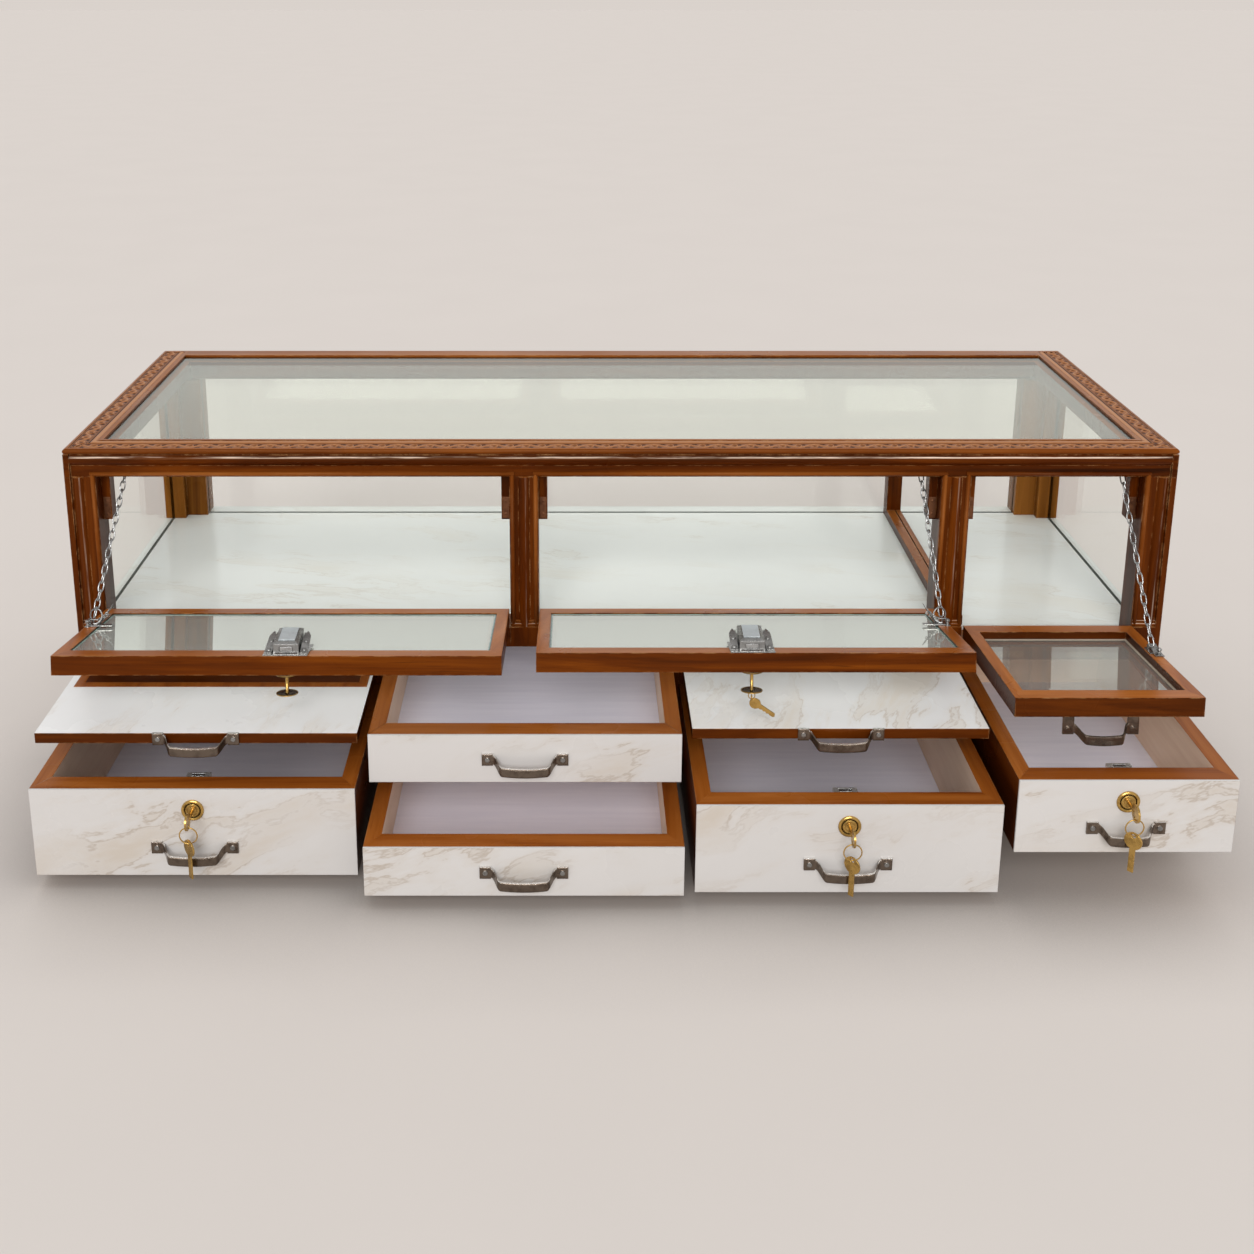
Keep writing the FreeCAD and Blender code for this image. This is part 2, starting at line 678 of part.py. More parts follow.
# Drawers: mitred walls, floor, facing, pull, and a lock with its keys on three of them.
for name, (column, bottom, height, pull_drop, locked) in DRAWERS.items():
    width = f"{column}_front_width"
    middle = f"{width} / 2"
    at = (f"{column}_x", f"-{name}_out", bottom)
    lock_level = f"{height} - lock_drop"
    run = "drawer_depth - facing_thickness"
    front = put(mitred(f"{name}_front_wall", width, "front_wall", "0", height, "side_wall", "side_wall"),
                "0", "facing_thickness", "0")
    facing = box(f"{name}_facing", ("0", width), ("0", "facing_thickness"), ("0", height))
    left = mitred(f"{name}_left_wall", run, "side_wall", "0", height, "0", "front_wall")
    right = mitred(f"{name}_right_wall", run, "side_wall", "0", height, "front_wall", "0")
    turn(left, (0, 0, 1), -90)
    turn(right, (0, 0, 1), 90)
    put(left, "0", "drawer_depth", "0")
    put(right, width, "facing_thickness", "0")
    if locked:
        through = [rod(f"{name}_{part}_bore", "y", "barrel_radius", (middle, "-overrun", lock_level),
                       "lock_back + 2 * overrun") for part in ("wall", "facing")]
        front = cut(f"{name}_front_bored", front, through[:1])
        facing = cut(f"{name}_facing_bored", facing, through[1:])
    inside = ("side_wall", f"{width} - side_wall")
    sub_part(f"{name}_box", [
        front,
        left,
        right,
        box(f"{name}_back_wall", inside, ("drawer_depth - side_wall", "drawer_depth"), ("0", height)),
        box(f"{name}_floor", inside, ("lock_back", "drawer_depth - side_wall"), ("0", "floor_thickness")),
    ], at)
    sub_part(f"{name}_front", [facing], at)
    spacing = "right_pull_spacing" if column == "right" else "pull_spacing"
    pull = bow_pull(f"{name}_bow_pull", spacing, middle, "0", f"{height} - {pull_drop}")
    sub_part(f"{name}_pull", [pull], at)
    if locked:
        tube = put(barrel(f"{name}_barrel", "lock_back"), middle, "-flange_thickness", lock_level)
        case_x = (f"{middle} - lock_case_width / 2", f"{middle} + lock_case_width / 2")
        case_top = f"{height} - lock_case_drop"
        bolt_x = (f"{middle} - bolt_width / 2", f"{middle} + bolt_width / 2")
        bolt_y = ("lock_back + lock_case_depth / 2 - bolt_thickness / 2",
                  "lock_back + lock_case_depth / 2 + bolt_thickness / 2")
        block = box(f"{name}_case_block", case_x, ("lock_back", "lock_back + lock_case_depth"),
                    (f"{case_top} - lock_case_height", case_top))
        slot = box(f"{name}_bolt_slot", (f"{bolt_x[0]} - bolt_gap", f"{bolt_x[1]} + bolt_gap"),
                   (f"{bolt_y[0]} - bolt_gap", f"{bolt_y[1]} + bolt_gap"),
                   (f"{case_top} - bolt_length - bolt_gap", f"{case_top} + overrun"))
        bolt = box(f"{name}_bolt_bar", bolt_x, bolt_y, (f"{case_top} - bolt_length", case_top))
        sub_part(f"{name}_lock", [tube, cut(f"{name}_lock_case", block, [slot])], at)
        sub_part(f"{name}_bolt", [bolt], at)
        key_at = (f"{at[0]} + {middle}", f"{at[1]} - flange_thickness", f"{at[2]} + {lock_level}")
        sub_part(f"{name}_key", [key(f"{name}_key_blank", "lock_back + plug_proud",
                                     "-key_bow_out", "-key_hole_offset")], key_at)
        sub_part(f"{name}_spare_key", spare_key(f"{name}_spare", "spare_turn", "0", "0"),
                 (key_at[0], f"{key_at[1]} - key_bow_out", f"{key_at[2]} - key_hole_offset"))


# Flaps: built lying open and level about their hinge axis, then tilted as they hang.

def rebated(name, length, width, end_cut, sink):
    """A mitred board with a lip along its inner edge for the glass to lie on."""
    lip_top = f"flap_inner - ({sink}) - flap_glass"
    inner = f"{length} - 2 * ({end_cut})"
    lip = mitred(name + "_lip", inner, "flap_lip", "hinge_proud", lip_top, "flap_lip", "flap_lip")
    put(lip, end_cut, width, "0")
    board = mitred(name + "_board", length, width, "hinge_proud", "flap_inner", end_cut, end_cut)
    return fuse(name, [board, lip])


def flap_frame(name, width, length, sink):
    free_rail = put(rebated(name + "_free_rail", width, "flap_rail", "flap_stile", sink),
                    "0", f"-hinge_rise - ({length})", "0")
    hinge_rail = turn(rebated(name + "_hinge_rail", width, "flap_rail", "flap_stile", sink), (0, 0, 1), 180)
    left_stile = turn(rebated(name + "_left_stile", length, "flap_stile", "flap_rail", sink), (0, 0, 1), -90)
    right_stile = turn(rebated(name + "_right_stile", length, "flap_stile", "flap_rail", sink), (0, 0, 1), 90)
    put(hinge_rail, width, "-hinge_rise", "0")
    put(left_stile, "0", "-hinge_rise", "0")
    put(right_stile, width, f"-hinge_rise - ({length})", "0")
    return free_rail, [hinge_rail, left_stile, right_stile]


def moving_leaf(name, x):
    """The leaf under the flap, with a knuckle at each end of it."""
    third = "hinge_length / 3"
    knuckle = f"{third} - knuckle_gap"
    pieces = [box(name + "_plate", (x, f"{x} + hinge_length"), ("-hinge_leaf", "-hinge_proud"),
                  ("hinge_proud - hinge_plate", "hinge_proud"))]
    for end, start in (("first", x), ("last", f"{x} + 2 * ({third}) + knuckle_gap")):
        pieces.append(box(f"{name}_{end}_tab", (start, f"{start} + {knuckle}"), ("-hinge_proud", "0"),
                          ("hinge_proud - hinge_plate", "hinge_proud")))
        pieces.append(rod(f"{name}_{end}_knuckle", "x", "knuckle_radius", (start, "0", "0"), knuckle))
    bore = rod(name + "_bore", "x", "hinge_pin_radius + pin_clearance", (f"{x} - overrun", "0", "0"),
               "hinge_length + 2 * overrun")
    return cut(name, fuse(name + "_leaf", pieces), [bore])


def fixed_leaf(name, x, z):
    """The leaf on the sill's face with the middle knuckle, and the pin."""
    third = "hinge_length / 3"
    start = f"{x} + {third}"
    axis_y = "-hinge_proud"
    pieces = [
        box(name + "_plate", (x, f"{x} + hinge_length"), ("-hinge_plate", "0"),
            (f"{z} - hinge_leaf", f"{z} - hinge_proud")),
        box(name + "_tab", (start, f"{start} + {third}"), ("-hinge_plate", "0"), (f"{z} - hinge_proud", z)),
        rod(name + "_knuckle", "x", "knuckle_radius", (start, axis_y, z), third),
    ]
    bore = rod(name + "_bore", "x", "hinge_pin_radius + pin_clearance", (f"{start} - overrun", axis_y, z),
               f"{third} + 2 * overrun")
    return [cut(name, fuse(name + "_leaf", pieces), [bore]),
            rod(name + "_pin", "x", "hinge_pin_radius", (x, axis_y, z), "hinge_length")]


def chain_plate(name, x, reach):
    """A plate on a stile with an ear and the pin that the last link hangs on."""
    back = f"-({reach}) - chain_plate_length / 2"
    side = f"{x} - chain_plate_width / 2"
    return fuse(name, [
        box(name + "_foot", (side, f"{side} + chain_plate_width"), (back, f"{back} + chain_plate_length"),
            ("flap_inner", "flap_inner + hinge_plate")),
        box(name + "_ear", (side, f"{side} + hinge_plate"),
            (f"-({reach}) - 2 * hinge_plate", f"-({reach}) + 2 * hinge_plate"),
            ("flap_inner", "flap_inner + chain_ear_height")),
        rod(name + "_pin", "x", "chain_pin_radius", (side, f"-({reach})", "chain_pin_level"),
            "chain_plate_width"),
    ])


def flap_lock(name, middle, length):
    """Case, ears and edge bar of a rim lock on the inner face, at the free edge, and its bolt."""
    free = f"-hinge_rise - ({length})"
    near = f"{free} + flap_lock_setback"
    far = f"{near} + flap_lock_length"
    base = "flap_inner + flap_lock_plate"
    low = f"{base} + bolt_thickness / 2"
    bolt_x = (f"{middle} - bolt_width / 2", f"{middle} + bolt_width / 2")
    bolt_z = (low, f"{low} + bolt_thickness")
    case_x = (f"{middle} - flap_lock_width / 2", f"{middle} + flap_lock_width / 2")
    wide_x = (f"{middle} - flap_lock_plate_width / 2", f"{middle} + flap_lock_plate_width / 2")
    plate_z = ("flap_inner", base)
    block = doc.addObject("Part::Wedge", name + "_block")
    bind(block, Xmin=case_x[0], X2min=case_x[0], Xmax=case_x[1], X2max=case_x[1], Ymin=near, Ymax=far)
    bind(block, Zmin="flap_inner", Zmax=f"{base} + flap_lock_low")
    bind(block, Z2min="flap_inner", Z2max=f"{base} + flap_lock_high")
    shell = fuse(name + "_shell", [
        block,
        box(name + "_left_ear", (wide_x[0], case_x[0]), (free, far), plate_z),
        box(name + "_right_ear", (case_x[1], wide_x[1]), (free, far), plate_z),
        box(name + "_bar", wide_x, (free, f"{free} + flap_lock_bar"), plate_z),
    ])
    slot = box(name + "_slot", (f"{bolt_x[0]} - bolt_gap", f"{bolt_x[1]} + bolt_gap"),
               (f"{near} - overrun", f"{near} + bolt_length + bolt_gap"),
               (f"{bolt_z[0]} - bolt_gap", f"{bolt_z[1]} + bolt_gap"))
    bolt = box(name + "_bolt_bar", bolt_x, (near, f"{near} + bolt_length"), bolt_z)
    return cut(name + "_case", shell, [slot]), bolt


# Bay, length, glass depth, side of the chain, its reach, and the height of the sill below.
FLAPS = {
    "flap_left": (
        "left", "flap_length", "flap_glass_sink", "left", "left_chain_reach", "sill_top"),
    "flap_middle": (
        "middle", "flap_length", "flap_glass_sink", "right", "middle_chain_reach", "sill_top"),
    "flap_right": (
        "right", "flap_right_length", "right_glass_sink", "right", "right_chain_reach", "right_sill_top"),
}
KEY_FACES = {"flap_left": "z", "flap_middle": "x"}
hinges = []
chain_ends = {}
for name, (bay, length, sink, chain_side, reach, sill) in FLAPS.items():
    width = f"{name}_width"
    middle = f"{width} / 2"
    tilt = f"{name}_tilt"
    axis_z = f"{sill} + hinge_rise"
    at = (f"{bay}_bay_from + flap_side_gap", "-hinge_proud", axis_z)
    free_rail, others = flap_frame(name, width, length, sink)
    barrel_y = f"-hinge_rise - ({length}) + flap_rail / 2"
    fittings = []
    locked = bay != "right"
    if locked:
        middle = f"{width} / 2 + {name}_lock_shift"
        free_rail = cut(f"{name}_free_rail_bored", free_rail,
                        [rod(f"{name}_barrel_hole", "z", "barrel_radius", (middle, barrel_y, "-overrun"),
                             "flap_inner + 2 * overrun")])
        tube = turn(barrel(f"{name}_barrel", "flap_thickness"), (1, 0, 0), 90)
        put(tube, middle, barrel_y, "hinge_proud - flange_thickness")
        case, bolt = flap_lock(f"{name}_lock", middle, length)
        fittings += [tube, case]
    sub_part(f"{name}_frame", [free_rail] + others, at, tilt)
    glass_x = ("flap_stile", f"{width} - flap_stile")
    glass_y = (f"-hinge_rise - ({length}) + flap_rail", "-hinge_rise - flap_rail")
    glass_z = (f"flap_inner - {sink} - flap_glass", f"flap_inner - {sink}")
    sub_part(f"{name}_glass", [box(f"{name}_pane", glass_x, glass_y, glass_z)], at, tilt)
    inset = f"{width} * hinge_inset_share"
    for side, x in (("left", inset), ("right", f"{width} - {inset} - hinge_length")):
        fittings.append(moving_leaf(f"{name}_{side}_moving_leaf", x))
        hinges += fixed_leaf(f"{name}_{side}_fixed_leaf", f"{at[0]} + {x}", axis_z)
    stile_x = "flap_stile / 2" if chain_side == "left" else f"{width} - flap_stile / 2"
    fittings.append(chain_plate(f"{name}_chain_plate", stile_x, reach))
    if not locked:
        pull_y = f"-hinge_rise - ({length}) + flap_pull_inset"
        fittings.append(bow_pull(f"{name}_bow_pull", "right_pull_spacing", middle, pull_y,
                                 "hinge_proud - flap_pull_hang", "flap_pull_hang"))
    sub_part(f"{name}_fittings", fittings, at, tilt)
    if locked:
        sub_part(f"{name}_bolt", [bolt], at, tilt)
        blank = key(f"{name}_key_blank", "flap_thickness + plug_proud", "-key_hole_out", "0", KEY_FACES[name])
        turn(blank, (1, 0, 0), 90)
        put(blank, middle, barrel_y, "hinge_proud - flange_thickness")
        sub_part(f"{name}_key", [blank], at, tilt)
    inset = f"{bay}_eye_inset"
    bay_edge = f"{bay}_bay_from + {inset}" if chain_side == "left" else f"{bay}_bay_to - {inset}"
    chain_ends[name] = (bay_edge, stile_x, reach, at, tilt)
sub_part("flap_hinges", hinges)


def in_flap(at, tilt, local):
    """Where a point of a level flap lies once the flap is tilted about its hinge axis."""
    base = FreeCAD.Vector(*(value(text) for text in at))
    spin = FreeCAD.Rotation(FreeCAD.Vector(-1, 0, 0), value(tilt))
    return base + spin.multVec(FreeCAD.Vector(*(value(text) for text in local)))


# The middle flap's spare key hangs from its key, and leans over so that its tip stays above the slide.
flap_at, flap_tilt = chain_ends["flap_middle"][3:]
hole_y = "(-hinge_rise - flap_length + flap_rail / 2)"
hole_z = "(hinge_proud - flange_thickness - key_hole_out)"
hole_level = f"{flap_at[2]} - {hole_y} * sin({flap_tilt}) + {hole_z} * cos({flap_tilt})"
ring_drop = "ring_slack + key_ring_radius + key_ring_radius * cos(spare_slip)"
slide_top = "slide_bottom + slide_thickness"
room = f"{hole_level} - ({ring_drop}) - spare_key_thickness / 2 - spare_clearance - ({slide_top})"
spare_lean = f"acos(({room}) / (key_hole_offset + key_bow + key_blade_length))"
sub_part("flap_middle_spare_key", spare_key("flap_middle_spare", "0", "spare_slip", spare_lean), (
    f"{flap_at[0]} + flap_middle_width / 2 + flap_middle_lock_shift",
    f"{flap_at[1]} + {hole_y} * cos({flap_tilt}) + {hole_z} * sin({flap_tilt})",
    hole_level,
))


def stay_chain(name, top_x, stile_x, reach, at, tilt):
    """An eye under the front rail, and links in alternate quarter turns down to the chain plate's pin."""
    wire = value("chain_wire")
    half_wire = wire / 2
    pin = in_flap(at, tilt, (stile_x, f"-({reach})", "chain_pin_level"))
    eye_radius = value("eye_radius")
    eye = FreeCAD.Vector(value(top_x), value("rail_width - rail_lip / 2"),
                         value("rail_under - eye_shank - eye_radius"))
    line = pin - eye
    along = FreeCAD.Vector(line).normalize()
    gap = value("link_gap")
    first = eye_radius - wire - gap
    last = half_wire + value("chain_pin_radius") + gap
    pitch = (line.Length + last - first - wire - gap) / CHAIN_LINKS
    straight = pitch + wire + gap - value("chain_link_width") + wire
    bend = (value("chain_link_width") - wire) / 2
    top = straight / 2 + bend
    start, second, third, fourth = [FreeCAD.Vector(x, 0, z) for x, z in (
        (bend, -straight / 2), (bend, straight / 2), (-bend, straight / 2), (-bend, -straight / 2))]
    path = Part.Wire([
        Part.LineSegment(start, second).toShape(),
        Part.Arc(second, FreeCAD.Vector(0, 0, top), third).toShape(),
        Part.LineSegment(third, fourth).toShape(),
        Part.Arc(fourth, FreeCAD.Vector(0, 0, -top), start).toShape(),
    ])
    section = Part.Wire([Part.makeCircle(half_wire, start, FreeCAD.Vector(0, 0, 1))])
    link = path.makePipeShell([section], True, False)
    lie = FreeCAD.Rotation(FreeCAD.Vector(0, 0, 1), along)
    flat = FreeCAD.Rotation(FreeCAD.Vector(0, 0, 1), 90)
    solids = []
    for number in range(CHAIN_LINKS):
        centre = eye + along * (first + top + pitch * number)
        spin = lie.multiply(flat) if number % 2 == 0 else lie
        copy = link.copy()
        copy.Placement = FreeCAD.Placement(centre, spin)
        solids.append(copy)
    loop = Part.makeTorus(eye_radius, half_wire, eye, FreeCAD.Vector(0, 1, 0))
    shank = Part.makeCylinder(half_wire, value("eye_shank"), eye + FreeCAD.Vector(0, 0, eye_radius))
    solids.append(loop.fuse(shank))
    piece = doc.addObject("Part::Feature", name)
    piece.Label = name
    piece.Shape = Part.makeCompound(solids)
    put(piece, "0", "-overall_depth / 2", "0")
    sub_parts.append(piece)


for name, ends in chain_ends.items():
    stay_chain(name.replace("flap", "chain"), *ends)

doc.recompute()

for piece in doc.Objects:
    if "Invalid" in piece.State or "Error" in piece.State:
        raise RuntimeError(f"{piece.Label} failed: {piece.State}")
for piece in sub_parts:
    if piece.Shape.isNull() or not piece.Shape.isValid():
        raise RuntimeError(f"{piece.Label} has no valid shape")

os.makedirs("parts", exist_ok=True)
for piece in sub_parts:
    piece.Shape.exportStep(f"parts/{piece.Label}.step")
print(len(sub_parts), "nodes,", sum(len(piece.Shape.Solids) for piece in sub_parts), "solids")
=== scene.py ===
import json
import math

import bpy
import numpy as np
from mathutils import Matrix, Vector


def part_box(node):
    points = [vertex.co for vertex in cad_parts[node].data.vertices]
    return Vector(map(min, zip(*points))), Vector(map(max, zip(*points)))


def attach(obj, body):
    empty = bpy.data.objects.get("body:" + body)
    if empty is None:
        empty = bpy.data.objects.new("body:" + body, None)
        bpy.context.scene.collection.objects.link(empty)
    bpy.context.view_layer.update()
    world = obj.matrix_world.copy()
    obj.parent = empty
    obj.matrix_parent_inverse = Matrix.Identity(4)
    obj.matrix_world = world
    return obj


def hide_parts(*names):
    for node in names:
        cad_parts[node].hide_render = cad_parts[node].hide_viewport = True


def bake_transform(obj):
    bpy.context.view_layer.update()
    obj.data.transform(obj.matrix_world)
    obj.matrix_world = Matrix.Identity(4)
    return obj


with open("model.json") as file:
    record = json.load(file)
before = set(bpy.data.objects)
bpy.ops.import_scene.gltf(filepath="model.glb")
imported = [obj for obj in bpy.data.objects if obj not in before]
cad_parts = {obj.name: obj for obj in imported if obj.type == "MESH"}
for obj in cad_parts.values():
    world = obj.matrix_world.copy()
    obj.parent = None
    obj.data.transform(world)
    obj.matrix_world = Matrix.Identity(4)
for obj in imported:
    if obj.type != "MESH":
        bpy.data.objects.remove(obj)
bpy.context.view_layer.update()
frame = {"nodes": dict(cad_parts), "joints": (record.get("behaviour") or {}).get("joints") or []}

NODES = frame["nodes"]
JOINTS = {joint["name"]: joint for joint in frame["joints"]}
DRAWERS = ("drawer_left", "drawer_mid_left_upper", "drawer_mid_left_lower", "drawer_mid_right", "drawer_right")
LOCKED = ("drawer_left", "drawer_mid_right", "drawer_right")
SLIDES = ("slide_left", "slide_mid_right")
FLAPS = ("flap_left", "flap_middle", "flap_right")
LOCKED_FLAPS = ("flap_left", "flap_middle")


class Graph:
    """The node tree of a material or a world, built one node at a time."""

    def __init__(self, owner):
        self.owner = owner
        owner.use_nodes = True
        self.tree = owner.node_tree
        self.tree.nodes.clear()

    def node(self, kind, inputs=None, **settings):
        made = self.tree.nodes.new("ShaderNode" + kind)
        for key, value in settings.items():
            setattr(made, key, value)
        for key, value in (inputs or {}).items():
            socket = made.inputs[key]
            if isinstance(value, bpy.types.NodeSocket):
                self.tree.links.new(value, socket)
            else:
                socket.default_value = value
        return made

    def place(self):
        return self.node("TexCoord").outputs["Object"]

    def mapped(self, vector, scale=(1, 1, 1), move=(0, 0, 0), turn=(0, 0, 0)):
        inputs = {"Vector": vector, "Scale": scale, "Location": move, "Rotation": turn}
        return self.node("Mapping", inputs).outputs["Vector"]

    def noise(self, vector, scale, detail=4.0, roughness=0.5, distortion=0.0):
        inputs = {
            "Vector": vector,
            "Scale": scale,
            "Detail": detail,
            "Roughness": roughness,
            "Distortion": distortion,
        }
        return self.node("TexNoise", inputs).outputs["Fac"]

    def ramp(self, fac, *stops):
        made = self.node("ValToRGB", {"Fac": fac})
        elements = made.color_ramp.elements
        while len(elements) < len(stops):
            elements.new(1.0)
        for element, (position, colour) in zip(elements, stops):
            element.position = position
            element.color = (*colour, 1.0)
        return made.outputs["Color"]

    def math(self, operation, *values):
        inputs = dict(enumerate(values))
        return self.node("Math", inputs, operation=operation).outputs[0]

    def spread(self, value, low, high, to_low=0.0, to_high=1.0):
        inputs = {"Value": value, "From Min": low, "From Max": high, "To Min": to_low, "To Max": to_high}
        return self.node("MapRange", inputs).outputs["Result"]

    def mix(self, fac, first, second, blend="MIX"):
        first = (*first, 1.0) if isinstance(first, tuple) else first
        second = (*second, 1.0) if isinstance(second, tuple) else second
        inputs = {"Fac": fac, "Color1": first, "Color2": second}
        return self.node("MixRGB", inputs, blend_type=blend).outputs["Color"]

    def rounded(self, radius):
        """The normal with sharp edges rounded off."""
        return self.node("Bevel", {"Radius": radius}, samples=4).outputs["Normal"]

    def edges(self, radius):
        """(rounded normal, how near a sharp edge the point is)."""
        rounded = self.rounded(radius)
        flat = self.node("NewGeometry").outputs["Normal"]
        dot = self.node("VectorMath", {0: rounded, 1: flat}, operation="DOT_PRODUCT").outputs["Value"]
        return rounded, self.spread(dot, 0.995, 0.86)

    def bump(self, height, distance, normal=None):
        inputs = {"Height": height, "Distance": distance}
        if normal is not None:
            inputs["Normal"] = normal
        return self.node("Bump", inputs).outputs["Normal"]

    def principled(self, inputs):
        return self.done(self.node("BsdfPrincipled", inputs).outputs["BSDF"])

    def done(self, shader, output="OutputMaterial"):
        self.node(output, {"Surface": shader})
        return self.owner


def new_look(name):
    return Graph(bpy.data.materials.new(name))


def times(colour, *shares):
    """A colour with each channel times its share, or all times the only share."""
    shares = shares if len(shares) > 1 else shares * 3
    return tuple(share * level for share, level in zip(shares, colour))


def stretched(axis, across, along):
    """Scales of a pattern that is drawn out along an axis."""
    scales = [across] * 3
    scales["xyz".index(axis)] = along
    return scales


MADE = {}


def once(build):
    """Each look is built once for each set of its choices."""

    def reuse(*choices):
        key = (build.__name__, *choices)
        if key not in MADE:
            MADE[key] = build(*choices)
        return MADE[key]

    return reuse


# Dark, middle and pale tone of the grain on each kind of surface; the top and flap tones, on faces that look up, are
# lighter copies, painted light from above.
WOOD_TONES = {
    "front": ((0.016, 0.0018, 0.0002), (0.066, 0.0112, 0.0004), (0.140, 0.0300, 0.0014)),
    "edge": ((0.022, 0.0026, 0.0002), (0.088, 0.0160, 0.0006), (0.175, 0.0400, 0.0020)),
    "deep": ((0.022, 0.0032, 0.0003), (0.066, 0.0125, 0.0008), (0.120, 0.0260, 0.0018)),
    "nose": ((0.066, 0.0110, 0.0008), (0.155, 0.0370, 0.0040), (0.250, 0.0760, 0.0130)),
    "top": ((0.160, 0.0400, 0.0060), (0.275, 0.0860, 0.0160), (0.370, 0.1320, 0.0340)),
    "flap": ((0.230, 0.0560, 0.0070), (0.370, 0.1080, 0.0160), (0.490, 0.1660, 0.0340)),
    "rim": ((0.160, 0.0330, 0.0036), (0.290, 0.0780, 0.0095), (0.390, 0.1250, 0.0230)),
    "back": ((0.090, 0.0260, 0.0030), (0.190, 0.0660, 0.0090), (0.270, 0.1000, 0.0190)),
}
WORN_WOOD = (0.52, 0.27, 0.11)
# Pale colour of the painted glint, a highlight mixed into the colour of varnished beads.
PAINTED_GLINT = (0.80, 0.63, 0.50)
WOOD_ROUNDING = 0.0022
LAMINATE_ROUNDING = 0.0012
BOARD_ROUNDING = 0.001
CARVING_LEVELS = (0.4930, 0.4950)


@once
def wood(axis, tone, shine=None, strength=0.8):
    """Varnished teak with its grain along an axis; shine is the slope on a bead where a painted glint, a pale highlight
    on the varnish, goes into the colour.
    """
    g = new_look(f"teak_{tone}_{axis}" + ("" if shine is None else "_bead"))
    place = g.place()
    figure = g.noise(g.mapped(place, stretched(axis, 26.0, 1.7)), 1.3, 6.0, 0.62, 0.7)
    fibres = g.noise(g.mapped(place, stretched(axis, 430.0, 16.0)), 1.0, 3.0, 0.6)
    clouds = g.noise(place, 6.0, 3.0)
    dark, middle, pale = WOOD_TONES[tone]
    colour = g.ramp(figure, (0.32, dark), (0.5, middle), (0.68, pale))
    colour = g.mix(g.spread(fibres, 0.58, 0.72, 0.0, 0.5), colour, dark)
    colour = g.mix(g.spread(clouds, 0.4, 0.68, 0.0, 0.4), colour, middle)
    rounded, near_edge = g.edges(WOOD_ROUNDING)
    scuffs = g.spread(g.noise(place, 55.0, 5.0, 0.7), 0.46, 0.62)
    worn = g.math("MULTIPLY", near_edge, g.math("MULTIPLY", scuffs, 0.8))
    colour = g.mix(worn, colour, WORN_WOOD)
    # Painted highlight: a broken pale glint line in the colour where the normal's slope is near shine.
    if shine is not None:
        normal = g.node("SeparateXYZ", {"Vector": g.node("NewGeometry").outputs["Normal"]})
        slope = normal.outputs["X" if axis == "z" else "Z"]
        away = g.math("ABSOLUTE", g.math("SUBTRACT", slope, shine))
        streaks = g.noise(g.mapped(place, stretched(axis, 300.0, 9.0)), 1.0, 4.0, 0.7)
        broken = g.spread(streaks, 0.44, 0.6, 0.0, strength)
        glint = g.math("MULTIPLY", g.spread(away, 0.15, 0.05), broken)
        colour = g.mix(glint, colour, PAINTED_GLINT)
    height = g.math("ADD", g.math("MULTIPLY", fibres, 0.5), figure)
    return g.principled(
        {
            "Base Color": colour,
            "Roughness": g.spread(clouds, 0.3, 0.7, 0.22, 0.40),
            "Specular IOR Level": 0.16,
            "Specular Tint": (1.0, 0.62, 0.32, 1.0),
            "Normal": g.bump(height, 0.0002, rounded),
        }
    )


@once
def carved_wood():
    """Carved teak, darker in its hollows: painted shade that follows the height of the relief."""
    g = new_look("teak_carved")
    place = g.place()
    level = g.node("SeparateXYZ", {"Vector": place}).outputs["Z"]
    grain = g.noise(g.mapped(place, (60.0, 60.0, 200.0)), 3.0, 5.0, 0.7)
    height = g.spread(level, *CARVING_LEVELS)
    height = g.math("ADD", height, g.math("MULTIPLY", g.math("SUBTRACT", grain, 0.5), 0.35))
    colour = g.ramp(
        height,
        (0.12, (0.024, 0.005, 0.001)),
        (0.34, (0.120, 0.033, 0.007)),
        (0.62, (0.300, 0.105, 0.030)),
        (0.95, (0.470, 0.205, 0.075)),
    )
    return g.principled(
        {
            "Base Color": colour,
            "Roughness": g.spread(grain, 0.3, 0.7, 0.34, 0.55),
            "Specular IOR Level": 0.3,
            "Normal": g.bump(grain, 0.0003),
        }
    )


@once
def marble(base, veins, turn, shift, roughness):
    """Printed marble laminate: soft beige drifts along one slant and a few thin veins."""
    g = new_look(f"marble_{len(MADE)}")
    place = g.mapped(g.place(), move=shift, turn=turn)
    warp = g.node("TexNoise", {"Vector": place, "Scale": 5.0, "Detail": 3.0}).outputs["Color"]
    bent = g.node("VectorMath", {0: warp, "Scale": 0.09}, operation="SCALE").outputs["Vector"]
    bent = g.node("VectorMath", {0: place, 1: bent}, operation="ADD").outputs["Vector"]
    streaks = g.noise(g.mapped(bent, (2.2, 9.0, 9.0)), 1.6, 6.0, 0.62)
    patches = g.spread(g.noise(g.mapped(place, (1.0, 2.0, 2.0)), 4.4, 2.0), 0.34, 0.58)
    soft = g.math("MULTIPLY", g.spread(streaks, 0.48, 0.64), patches)
    drift = g.math("ABSOLUTE", g.math("SUBTRACT", streaks, 0.55))
    thin = g.math("MULTIPLY", g.spread(drift, 0.016, 0.0), g.math("MULTIPLY", patches, patches))
    clouds = g.spread(g.noise(bent, 3.2, 5.0, 0.6), 0.35, 0.7)
    colour = g.mix(clouds, base, times(base, 0.95))
    colour = g.mix(g.math("MULTIPLY", soft, 0.9 * veins), colour, times(base, 0.88, 0.81, 0.72))
    colour = g.mix(g.math("MULTIPLY", thin, 0.6 * veins), colour, times(base, 0.60, 0.50, 0.40))
    smudges = g.noise(place, 9.0, 4.0)
    return g.principled(
        {
            "Base Color": colour,
            "Roughness": g.spread(smudges, 0.3, 0.7, roughness, roughness + 0.12),
            "Specular IOR Level": 0.3,
            "Normal": g.rounded(LAMINATE_ROUNDING),
        }
    )


